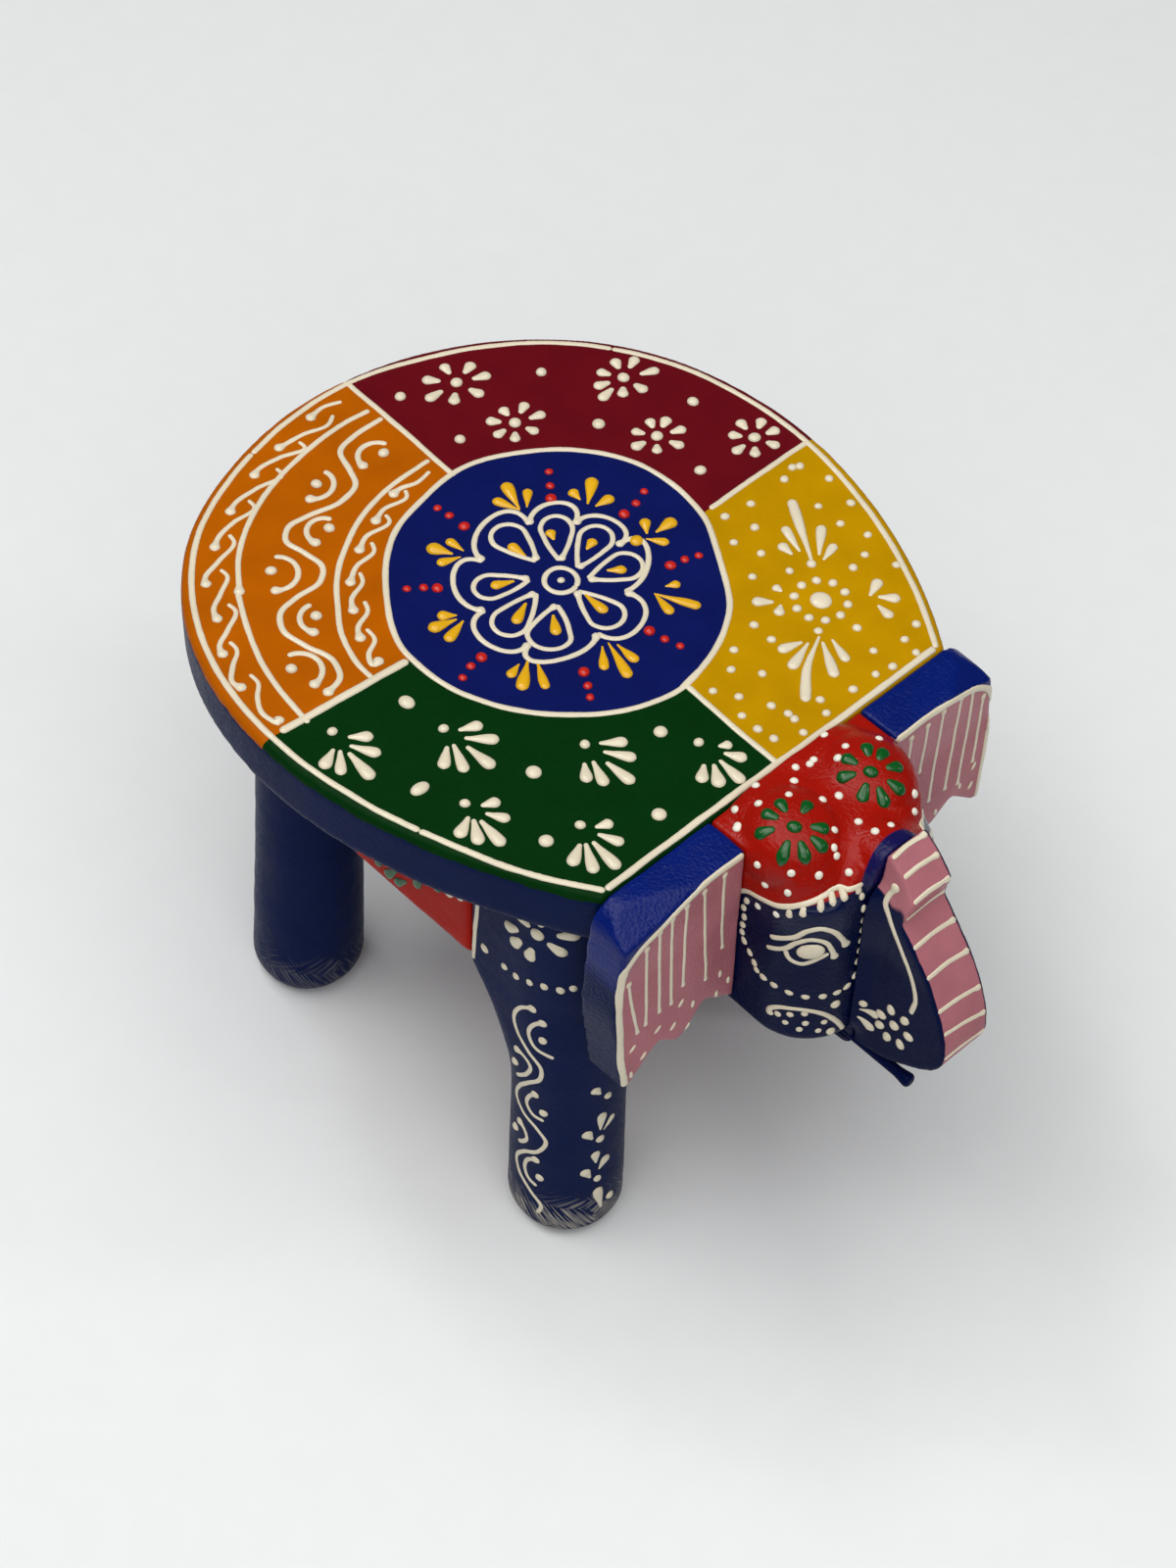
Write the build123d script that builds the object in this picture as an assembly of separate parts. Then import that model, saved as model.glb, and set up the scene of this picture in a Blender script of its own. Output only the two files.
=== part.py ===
from build123d import *
import os
from math import cos, pi, sin, sqrt

# Carved elephant stool: a seat board on an elephant's body, with the head, trunk and
# two ears across the front edge. Glued wooden pieces on dowels, pegs and round tenons.
# Frame: +X runs to the head, +Y to the elephant's left, +Z up. Millimetres. The model is
# drawn about the elephant's middle plane; the seat is cut a little lopsided, so every
# piece is shifted on saving to put the origin under the middle of the whole stool.

# ---- Driving dimensions ------------------------------------------------------------

trunk_tip_x = 133.0       # front of the trunk
seat_top = 170.0          # height of the sitting surface
seat_thick = 19.0
seat_front_x = 60.0       # straight front edge of the seat
tail_center_x = -37.5     # the hand-cut plan is measured from here: direction in degrees, radius
seat_plan = ((300, 103.4), (268, 97.9), (236, 98.4), (220, 97.6), (204, 95.3), (186, 93.8),
             (168, 92.8), (150, 92.9), (120, 94.3), (90, 95.2), (58, 101.7))
front_corners = (-67.8, 63.0)
box_middle = (0.95, -1.35)  # middle of the finished stool's box, which becomes the origin
rim_round_top = 2.5
rim_round_bottom = 2.0

body_depth = 44.0         # body below the seat board
side_y = 73.5             # flat sides of the belly and of the front shoulders
spine_half = 36.5         # half width of the body between the legs
belly_round = 3.0

front_leg_x = 39.8
front_leg_y = 56.6
rear_leg_top = (-75.4, 52.4)
rear_leg_foot = (-78.5, 55.4)
ankle_radius = 16.5
rear_ankle_radius = 15.6
foot_radius = 17.2
foot_round = 8.0
shoulder_back_x = 16.5    # seam between the belly and the front shoulders
shoulder_run = 50.0       # height over which a square shoulder becomes a round leg
rear_block_depth = 14.0
rear_block_run = 26.0
belly_back_x = -59.0
spine_back_x = -91.0

head_half = 28.5
head_front_x = 101.5
head_corner = 18.0
jaw_drop = 68.0           # underside of the jaw, below the seat top
jaw_round = 2.5
chin_back_x = 84.0
chin_drop = 79.5          # underside of the chin that holds the tusks
brow_drop = 5.5           # widest level of the two forehead domes
brow_round = 9.0
dome_x = 76.0
dome_y = 13.5
dome_size = (17.0, 15.0, 13.2)
bridge_radius = 10.0      # rounded bridge between the domes, up to the trunk
bridge_rise = 6.0

ear_thick = 14.0
ear_round = 1.5
# Half span, length and inward lean of the outer edge, then where the top starts to slope
# and how far it has dropped at the outer corner; the two are not quite alike.
right_ear = (74.5, 71.0, 4.5, 44.0, 8.0)
left_ear = (71.0, 61.0, 0.5, 50.0, 7.0)

trunk_half = 9.0
trunk_rise = 5.0          # top of the trunk's root, above the seat top
trunk_drop = 74.0
tusk_radius = 1.7
tusk_flare = 2.4
tusk_y = 7.0
tusk_tip_x = 122.1
tusk_root_x = 88.0
tusk_drop = 74.7
tusk_bell = 5.0           # length of the flared end

tenon_radius = 8.0
tenon_length = 9.0
dowel_radius = 4.0
small_dowel_radius = 3.0

seat_under = seat_top - seat_thick
body_bottom = seat_under - body_depth

os.makedirs("parts", exist_ok=True)


# ---- Helpers -----------------------------------------------------------------------

def box_between(x0, x1, y0, y1, z0, z1):
    """Box from its lowest to its highest corner."""
    corner = (Align.MIN, Align.MIN, Align.MIN)
    return Pos(x0, y0, z0) * Box(x1 - x0, y1 - y0, z1 - z0, align=corner)


def rod(start, direction, radius, length):
    """Round bar from a start point along a direction."""
    return extrude(Plane(start, z_dir=direction) * Circle(radius), amount=length)


def both_sides(piece):
    """A piece on the elephant's left and its mirror image on the right."""
    return [piece, mirror(piece, about=Plane.XZ)]


def ease(start, end, share):
    """Value on the way from start to end; quick at first, slow at the end."""
    return start + (end - start) * (1 - (1 - share) ** 2)


def save(name, shape):
    """Write one node; a list of shapes becomes a group of solids."""
    to_origin = Pos(-box_middle[0], -box_middle[1], 0)
    if isinstance(shape, list):
        shape = Compound(children=[to_origin * piece.solid() for piece in shape])
    else:
        shape = to_origin * shape
    export_step(shape, f"parts/{name}.step")


# ---- Seat board --------------------------------------------------------------------

def seat_outline():
    """Plan of the seat: a hand-cut round from one front corner to the other, and a
    straight front edge."""
    right, left = ((seat_front_x, y) for y in front_corners)
    rim = [(tail_center_x + radius * cos(turn * pi / 180), radius * sin(turn * pi / 180))
           for turn, radius in seat_plan]
    return make_face([Spline(right, *rim, left), Line(left, right)])


def seat_board(holes):
    """Board with its round rim eased and a sharp straight front edge."""
    board = Pos(0, 0, seat_under) * extrude(seat_outline(), amount=seat_thick)
    for height, radius in ((seat_top, rim_round_top), (seat_under, rim_round_bottom)):
        rims = [edge for edge in board.edges()
                if edge.geom_type != GeomType.LINE and edge.bounding_box().size.Z < 0.1
                and abs(edge.center().Z - height) < 0.1]
        board = fillet(rims, radius)
    return board - holes


# ---- Body block --------------------------------------------------------------------

def body_block(holes):
    """Belly between the legs, on a narrower block that runs from rump to chest."""
    spine = box_between(spine_back_x, seat_front_x, -spine_half, spine_half,
                        body_bottom, seat_under)
    belly = box_between(belly_back_x, shoulder_back_x, -side_y, side_y,
                        body_bottom, seat_under)
    belly_edges = belly.edges().filter_by(Axis.X).group_by(Axis.Z)[0]
    block = spine + fillet(belly_edges, belly_round)
    rump_edges = block.edges().filter_by(Axis.Y).group_by(Axis.X)[0].group_by(Axis.Z)[0]
    block = fillet(rump_edges, belly_round * 2)
    return block - holes


# ---- Legs --------------------------------------------------------------------------

def leg_section(z, x0, x1, y0, y1, radii):
    """Rectangle at height z with its own radius at each corner, anticlockwise from
    the back inner corner."""
    corners = [(x0, y0, pi), (x1, y0, 1.5 * pi), (x1, y1, 0.0), (x0, y1, 0.5 * pi)]
    inward = [(1, 1), (-1, 1), (-1, -1), (1, -1)]
    arcs = []
    for (x, y, angle), (to_x, to_y), radius in zip(corners, inward, radii):
        cx, cy = x + to_x * radius, y + to_y * radius
        ring = [(cx + radius * cos(angle + turn), cy + radius * sin(angle + turn), z)
                for turn in (0, pi / 4, pi / 2)]
        arcs.append(ThreePointArc(*ring))
    edges = []
    for arc, following in zip(arcs, arcs[1:] + arcs[:1]):
        edges += [arc, Line(arc @ 1, following @ 0)]
    return make_face(edges)


def carved_leg(block, corner_radii, block_bottom, run, ankle, foot, radius):
    """Leg on the left: a square block under the seat that runs into a round leg."""
    full = 0.97
    levels = [0.0, 0.2, 0.45, 0.7, 1.0]

    def section(share):
        z = block_bottom - run * share
        ring = (ankle[0] - radius, ankle[0] + radius, ankle[1] - radius, ankle[1] + radius)
        bounds = [ease(a, b, share) for a, b in zip(block, ring)]
        radii = [ease(start, radius * full, share) for start in corner_radii]
        return leg_section(z, *bounds, radii)

    def round_section(z, center, size):
        return leg_section(z, center[0] - size, center[0] + size,
                           center[1] - size, center[1] + size, [size * full] * 4)

    top = extrude(section(0.0), amount=seat_under - block_bottom, dir=(0, 0, 1))
    knee = loft([section(share) for share in levels])
    shin = loft([section(1.0), round_section(0.0, foot, foot_radius)], ruled=True)
    shin = fillet(shin.edges().group_by(Axis.Z)[0], foot_round)
    return top + knee + shin


def front_leg():
    block = (shoulder_back_x, seat_front_x, spine_half, side_y)
    ankle = (front_leg_x, front_leg_y)
    leg = carved_leg(block, (0.8, 0.8, 24.0, 0.8), body_bottom, shoulder_run,
                     ankle, ankle, ankle_radius)
    return leg + rod((front_leg_x, front_leg_y, seat_under), (0, 0, 1),
                     tenon_radius, tenon_length)


def rear_leg():
    x, y = rear_leg_top
    block = (spine_back_x, belly_back_x, spine_half, y + ankle_radius + 1)
    leg = carved_leg(block, (0.8, 0.8, 12.0, 12.0), seat_under - rear_block_depth,
                     rear_block_run, rear_leg_top, rear_leg_foot, rear_ankle_radius)
    return leg + rod((x, y, seat_under), (0, 0, 1), tenon_radius, tenon_length)


# ---- Head --------------------------------------------------------------------------

def head_block(holes):
    """Square-cheeked head with two forehead domes that rise above the seat, a shoulder
    that meets the ears' tops, and a chin under the trunk's root."""
    level = seat_top - brow_drop
    skull = box_between(seat_front_x, head_front_x, -head_half, head_half,
                        seat_top - jaw_drop, level)
    skull = fillet(skull.edges().filter_by(Axis.Z).group_by(Axis.X)[-1], head_corner)

    def outer_edges(place):
        return [edge for edge in skull.edges().group_by(Axis.Z)[place]
                if edge.bounding_box().max.X > seat_front_x + 0.1]

    skull = fillet(outer_edges(0), jaw_round)
    skull = fillet(outer_edges(-1), brow_round)
    length = head_front_x - seat_front_x
    bridge = rod((seat_front_x, 0, level - bridge_rise), (length, 0, bridge_rise),
                 bridge_radius, 2 * length)
    behind = box_between(0, seat_front_x, -head_half, head_half, body_bottom, 2 * seat_top)
    ahead = box_between(head_front_x, 2 * head_front_x, -head_half, head_half,
                        body_bottom, 2 * seat_top)
    dome = Pos(dome_x, dome_y, level) * scale(Sphere(1.0), by=dome_size)
    shoulder = box_between(seat_front_x, seat_front_x + ear_thick, -head_half, head_half,
                           seat_under, seat_top)
    chin = box_between(chin_back_x, head_front_x, -trunk_half, trunk_half,
                       seat_top - chin_drop, seat_top - jaw_drop + 2 * jaw_round)
    front_edge = chin.edges().filter_by(Axis.Y).group_by(Axis.Z)[0].sort_by(Axis.X)[-1]
    head = skull + (bridge - behind - ahead) + shoulder + fillet(front_edge, 2 * jaw_round)
    for half in both_sides(dome - behind):
        head += half
    return head - holes


def trunk(holes):
    """Upright slab with a ridged brow at its top and a blunt rounded tip."""
    back, tip, level = head_front_x, trunk_tip_x, seat_top
    crown, chin = level + trunk_rise, level - trunk_drop
    notch = (back + 10.5, level - 13.2)
    widest = (tip, level - 52)
    brow = Polyline((back, chin), (back, crown - 1), (back + 1.5, crown),
                    (back + 7, level + 0.5), (back + 12.2, level - 5.3), notch)
    front = Spline(notch, (tip - 9.5, level - 27.6), (tip - 1.2, level - 44), widest,
                   tangents=[(1, -1.2), (0, -1)])
    under = Spline(widest, (tip - 4.0, level - 61.2), (tip - 14.3, level - 68.4), (back, chin),
                   tangents=[(0, -1), (-1, -0.1)])
    slab = extrude(Plane.XZ * make_face([brow, front, under]), amount=trunk_half, both=True)
    return slab - holes


def tusk():
    """Thin peg glued into the jaw, with a slightly flared tip."""
    length = tusk_tip_x - tusk_root_x
    profile = Polyline((0, 0), (0, tusk_radius), (length - tusk_bell, tusk_radius),
                       (length, tusk_flare), (length, 0), close=True)
    peg = revolve(make_face(profile), Axis.X)
    tip = peg.edges().filter_by(GeomType.CIRCLE).group_by(Axis.X)[-1]
    return Pos(tusk_root_x, tusk_y, seat_top - tusk_drop) * fillet(tip, tusk_flare / 2)


# ---- Ears --------------------------------------------------------------------------

def ear(reach, drop, lean, slope_y, slope_drop, holes):
    """Ear on the left: a plate with a rounded outer corner, a toothed lower edge and a
    top that slopes down to the outer front corner."""
    tip = reach - lean
    outline = [
        (head_half, 0, 0), (reach - 3.0, 0, 9.0), (reach, -drop / 2, 60.0),
        (tip, -drop, 2.0), (tip - 13, 12 - drop, 1.0), (tip - 21, 5 - drop, 3.0),
        (tip - 30.5, 15 - drop, 1.0), (head_half, 7 - drop, 0),
    ]
    points = [(y, seat_top + z) for y, z, _ in outline]
    face = make_face(Polyline(*points, close=True))
    for (y, z), (_, _, radius) in zip(points, outline):
        if radius:
            corner = face.vertices().sort_by_distance((y, z, 0))[0]
            face = fillet(corner, radius)
    plate = extrude(Plane(origin=(seat_front_x, 0, 0), x_dir=(0, 1, 0), z_dir=(1, 0, 0)) * face,
                    amount=ear_thick)
    front_x = seat_front_x + ear_thick
    front = [edge for edge in plate.edges()
             if edge.bounding_box().min.X > front_x - 0.1 and edge.center().Y > head_half + 0.5]
    plate = fillet(front, ear_round)
    start, end = Vector(front_x, slope_y, seat_top), Vector(front_x, reach, seat_top - slope_drop)
    across = Vector(seat_front_x, reach, seat_top) - start
    slope = Plane(origin=start, x_dir=end - start, z_dir=across.cross(end - start))
    if slope.z_dir.Z < 0:
        slope = Plane(origin=start, x_dir=end - start, z_dir=(end - start).cross(across))
    above = slope * Box(200, 200, 40, align=(Align.CENTER, Align.CENTER, Align.MIN))
    return plate - above - holes


# ---- Dowels ------------------------------------------------------------------------

def seat_dowels():
    """Upright dowels between the body block and the seat board."""
    depth = 18.0
    return [rod((x, y, seat_under - depth), (0, 0, 1), dowel_radius, depth + tenon_length)
            for x in (-50.0, 38.0) for y in (-20.0, 20.0)]


def leg_dowels():
    """Dowels across the seam between each leg and the body block."""
    half = 17.0
    places = [(front_leg_x, body_bottom + 14), (rear_leg_top[0], seat_under - 7)]
    return [rod((x, side * spine_half - half, z), (0, 1, 0), small_dowel_radius, 2 * half)
            for x, z in places for side in (-1, 1)]


def head_dowels():
    depth = 17.0
    return [rod((seat_front_x - depth, side * 14.0, seat_under - 24), (1, 0, 0),
                dowel_radius, 2 * depth) for side in (-1, 1)]


def ear_dowels():
    """One dowel from each ear into the seat board and one into the shoulder."""
    depth = 9.0
    return [rod((seat_front_x - depth, side * y, z), (1, 0, 0), small_dowel_radius, 2 * depth)
            for side in (-1, 1)
            for y, z in ((50.0, seat_top - seat_thick / 2), (46.0, seat_under - 24))]


def trunk_dowels():
    depth = 11.0
    return [rod((head_front_x - depth, 0, seat_top - drop), (1, 0, 0),
                small_dowel_radius, 2 * depth) for drop in (22.0, 50.0)]


# ---- Assembly ----------------------------------------------------------------------

pegs = {"seat_dowels": seat_dowels(), "leg_dowels": leg_dowels(),
        "head_dowels": head_dowels(), "ear_dowels": ear_dowels(),
        "trunk_dowels": trunk_dowels()}
all_pegs = [peg for group in pegs.values() for peg in group]

front_left, front_right = both_sides(front_leg())
rear_left, rear_right = both_sides(rear_leg())
tusk_left, tusk_right = both_sides(tusk())
legs = {"leg_front_left": front_left, "leg_front_right": front_right,
        "leg_rear_left": rear_left, "leg_rear_right": rear_right}

for name, leg in legs.items():
    save(name, leg - pegs["leg_dowels"] - pegs["ear_dowels"])
for name, group in pegs.items():
    save(name, group)
save("tusk_left", tusk_left)
save("tusk_right", tusk_right)
save("seat_board", seat_board(all_pegs + list(legs.values())))
save("body_block", body_block(all_pegs))
save("head_block", head_block(all_pegs + [tusk_left, tusk_right]))
save("trunk", trunk(all_pegs + [tusk_left, tusk_right]))
save("ear_left", ear(*left_ear, all_pegs))
save("ear_right", mirror(ear(*right_ear, all_pegs), about=Plane.XZ))
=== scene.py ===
"""Visual model of a carved and painted elephant stool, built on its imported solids."""
import bisect
import logging
import math
import random
from dataclasses import dataclass
from enum import Enum
from typing import Callable, Iterable, Sequence

import bmesh
import bpy
from mathutils import Matrix, Vector, noise
from mathutils.bvhtree import BVHTree


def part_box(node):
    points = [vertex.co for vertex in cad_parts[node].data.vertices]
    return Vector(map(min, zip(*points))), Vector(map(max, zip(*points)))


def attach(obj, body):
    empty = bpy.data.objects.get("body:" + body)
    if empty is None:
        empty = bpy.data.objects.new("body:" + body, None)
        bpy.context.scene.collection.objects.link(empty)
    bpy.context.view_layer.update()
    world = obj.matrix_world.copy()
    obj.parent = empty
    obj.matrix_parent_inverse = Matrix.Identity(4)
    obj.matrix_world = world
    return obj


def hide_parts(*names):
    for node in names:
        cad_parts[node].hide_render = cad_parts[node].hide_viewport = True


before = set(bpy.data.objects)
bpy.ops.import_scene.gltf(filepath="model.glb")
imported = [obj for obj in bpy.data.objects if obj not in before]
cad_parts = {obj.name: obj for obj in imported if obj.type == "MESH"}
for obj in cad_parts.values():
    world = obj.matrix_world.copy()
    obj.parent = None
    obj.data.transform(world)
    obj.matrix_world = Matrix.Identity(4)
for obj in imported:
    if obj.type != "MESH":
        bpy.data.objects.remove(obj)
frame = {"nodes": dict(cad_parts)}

MM = 0.001
# Numbers below are millimetres about the elephant's middle plane, as in the part's source.
# OFFSET takes them to the frame's origin, which is under the middle of the whole stool.
OFFSET = Vector((-0.95, 1.35, 0.0))
BODY = "root"
LEG_RADIUS = 16.5
# Where the rays onto a surface start, in metres: over the floor, beside the middle plane or
# before the head, and out from a corner's or a leg's axis.
RAY_TOP, RAY_SIDE, RAY_CORNER, RAY_LEG = 0.3, 0.2, 0.08, 0.06
Pair = tuple[float, float]
Ray = tuple[Vector, Vector]
log = logging.getLogger("elephant_stool")


class Pigment(Enum):
    """Enamel colours of the stool, as sRGB values from 0 to 255."""

    ORANGE = (166, 83, 0)
    MAROON = (92, 11, 21)
    YELLOW = (174, 129, 0)
    GREEN = (4, 43, 10)
    MEDALLION = (11, 20, 80)
    # Painted sheen: the blue that the ear's rim turns to near its rounded top, standing in for
    # light falling there.
    SHEEN_BLUE = (4, 24, 98)
    NAVY = (8, 23, 64)
    DARK_NAVY = (4, 14, 52)
    RED = (160, 22, 8)
    CAP_RED = (148, 16, 5)
    PINK = (170, 105, 114)
    ROOT_BLUE = (20, 17, 72)
    CREAM = (212, 202, 178)
    WHITE = (222, 218, 204)
    LEAF = (2, 78, 24)
    PALE_YELLOW = (214, 162, 20)
    SCARLET = (186, 28, 18)
    PRIMER = (146, 142, 134)
    RAW_WOOD = (186, 148, 104)
    FLOOR = (226, 228, 229)


def linear(colour: Sequence[float]) -> tuple[float, float, float, float]:
    """Turn an sRGB colour into the linear values that shaders take.

    Args:
        colour: Red, green and blue from 0 to 255.

    Returns:
        Linear red, green, blue and an alpha of one.
    """
    def channel(value: float) -> float:
        """Turn one channel linear."""
        share = value / 255
        return share / 12.92 if share <= 0.04045 else ((share + 0.055) / 1.055) ** 2.4
    return channel(colour[0]), channel(colour[1]), channel(colour[2]), 1.0


class Graph:
    """Adds nodes and links to one node tree."""

    def __init__(self, tree: bpy.types.NodeTree) -> None:
        """Keep the tree.

        Args:
            tree: Shader or geometry node tree to write into.
        """
        self.tree = tree

    def add(self, kind: str, inputs: dict | None = None, **settings: object) -> bpy.types.Node:
        """Add one node.

        Args:
            kind: Blender's name for the node type.
            inputs: Values or sockets for the node's inputs, by name or index.
            **settings: Properties of the node.

        Returns:
            The new node.
        """
        node = self.tree.nodes.new(kind)
        for key, value in settings.items():
            setattr(node, key, value)
        for key, value in (inputs or {}).items():
            if isinstance(value, bpy.types.NodeSocket):
                self.tree.links.new(value, node.inputs[key])
            else:
                node.inputs[key].default_value = value
        return node

    def math(self, operation: str, a: object, b: object = 0.0) -> bpy.types.NodeSocket:
        """Add a scalar math node.

        Args:
            operation: Name of the operation.
            a: First value or socket.
            b: Second value or socket.

        Returns:
            The result socket.
        """
        return self.add("ShaderNodeMath", {0: a, 1: b}, operation=operation).outputs[0]

    def rise(self, value: object, low: float, high: float) -> bpy.types.NodeSocket:
        """Turn a value into a smooth 0 to 1 ramp.

        Args:
            value: Socket to read.
            low: Value that gives 0.
            high: Value that gives 1.

        Returns:
            The ramp socket.
        """
        node = self.add("ShaderNodeMapRange", {"Value": value, "From Min": low, "From Max": high},
                        interpolation_type="SMOOTHSTEP")
        return node.outputs[0]

    def choose(self, share: object, first: object, second: object) -> bpy.types.NodeSocket:
        """Mix two colours.

        Args:
            share: 0 gives the first colour, 1 the second.
            first: Pigment or colour socket.
            second: Pigment or colour socket.

        Returns:
            The colour socket.
        """
        node = self.add("ShaderNodeMix", {0: share}, data_type="RGBA")
        for slot, colour in ((6, first), (7, second)):
            if isinstance(colour, Pigment):
                node.inputs[slot].default_value = linear(colour.value)
            else:
                self.tree.links.new(colour, node.inputs[slot])
        return node.outputs[2]

    def place(self) -> dict[str, bpy.types.NodeSocket]:
        """Read the object coordinates in millimetres.

        Returns:
            Sockets for the whole vector and for x, y and z.
        """
        raw = self.add("ShaderNodeTexCoord").outputs["Object"]
        scaled = self.add("ShaderNodeVectorMath", {0: raw, 3: 1 / MM}, operation="SCALE").outputs[0]
        scaled = self.add("ShaderNodeVectorMath", {0: scaled, 1: tuple(OFFSET)},
                          operation="SUBTRACT").outputs[0]
        axes = self.add("ShaderNodeSeparateXYZ", {0: scaled}).outputs
        return {"vector": scaled, "x": axes[0], "y": axes[1], "z": axes[2]}

    def noise(self, vector: bpy.types.NodeSocket, size: float, detail: float = 2.0,
              ) -> bpy.types.NodeSocket:
        """Add noise whose lumps have a real size.

        Args:
            vector: Coordinates in millimetres.
            size: Size of a lump in millimetres.
            detail: Octaves of finer noise.

        Returns:
            Socket with values around 0.5.
        """
        node = self.add("ShaderNodeTexNoise", {"Vector": vector, "Scale": 1 / size,
                                               "Detail": detail})
        return node.outputs[0]


@dataclass(frozen=True)
class Gloss:
    """How a coat of paint takes the light."""

    roughness: float = 0.34
    coat: float = 0.12
    orange_peel: float = 0.14
    peel_size: float = 1.3
    mottle: float = 0.10
    specular: float = 0.2
    coat_from: float = -100.0

    def shade(self, graph: Graph, colour: bpy.types.NodeSocket,
              vector: bpy.types.NodeSocket) -> bpy.types.NodeSocket:
        """Build the shader of this coat.

        Args:
            graph: Material tree to write into.
            colour: Colour socket.
            vector: Coordinates in millimetres.

        Returns:
            The shader socket.
        """
        cloud = graph.noise(vector, 14.0, 3.0)
        value = graph.add("ShaderNodeMapRange", {"Value": cloud, "From Min": 0.25, "From Max": 0.75,
                                                 "To Min": 1 - self.mottle,
                                                 "To Max": 1 + self.mottle}).outputs[0]
        tinted = graph.add("ShaderNodeHueSaturation", {"Value": value, "Color": colour}).outputs[0]
        peel = graph.noise(vector, self.peel_size, 3.0)
        rough = graph.add("ShaderNodeMapRange", {"Value": peel, "From Min": 0.3, "From Max": 0.7,
                                                 "To Min": self.roughness * 0.8,
                                                 "To Max": self.roughness * 1.25}).outputs[0]
        bump = graph.add("ShaderNodeBump", {"Height": peel, "Strength": self.orange_peel,
                                            "Distance": 0.4 * MM}).outputs[0]
        height = graph.add("ShaderNodeSeparateXYZ", {0: vector}).outputs[2]
        coat = graph.math("MULTIPLY", self.coat,
                          graph.rise(height, self.coat_from - 4, self.coat_from + 4))
        shader = graph.add("ShaderNodeBsdfPrincipled", {
            "Base Color": tinted, "Roughness": rough, "Normal": bump,
            "Coat Weight": coat, "Coat Roughness": 0.07, "Coat Normal": bump,
            "Specular IOR Level": self.specular,
        })
        return shader.outputs[0]


SATIN = Gloss(roughness=0.36, coat=0.0, orange_peel=0.22, specular=0.03)
WET = Gloss(roughness=0.22, coat=0.22, orange_peel=0.7, peel_size=1.0, specular=0.04,
            coat_from=149.0)
STICKY = Gloss(roughness=0.34, coat=0.12, orange_peel=0.4, peel_size=1.3, specular=0.03,
               coat_from=140.0)
CONE_PAINT = Gloss(roughness=0.2, coat=0.0, orange_peel=0.06, mottle=0.05, specular=0.4)


def new_material(name: str, gloss: Gloss,
                 colour: Callable[[Graph, dict[str, bpy.types.NodeSocket]], object],
                 ) -> bpy.types.Material:
    """Make a material from a coat and a rule for its colour.

    Args:
        name: Material name.
        gloss: Coat of paint.
        colour: Rule that gives the colour socket for a place.

    Returns:
        The material.
    """
    material = bpy.data.materials.new(name)
    material.use_nodes = True
    material.node_tree.nodes.clear()
    graph = Graph(material.node_tree)
    where = graph.place()
    shader = gloss.shade(graph, colour(graph, where), where["vector"])
    graph.add("ShaderNodeOutputMaterial", {0: shader})
    return material


def plain(name: str, pigment: Pigment, gloss: Gloss) -> bpy.types.Material:
    """Make a material of one colour.

    Args:
        name: Material name.
        pigment: Colour.
        gloss: Coat of paint.

    Returns:
        The material.
    """
    return new_material(name, gloss, lambda graph, where: graph.choose(0.0, pigment, pigment))


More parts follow.
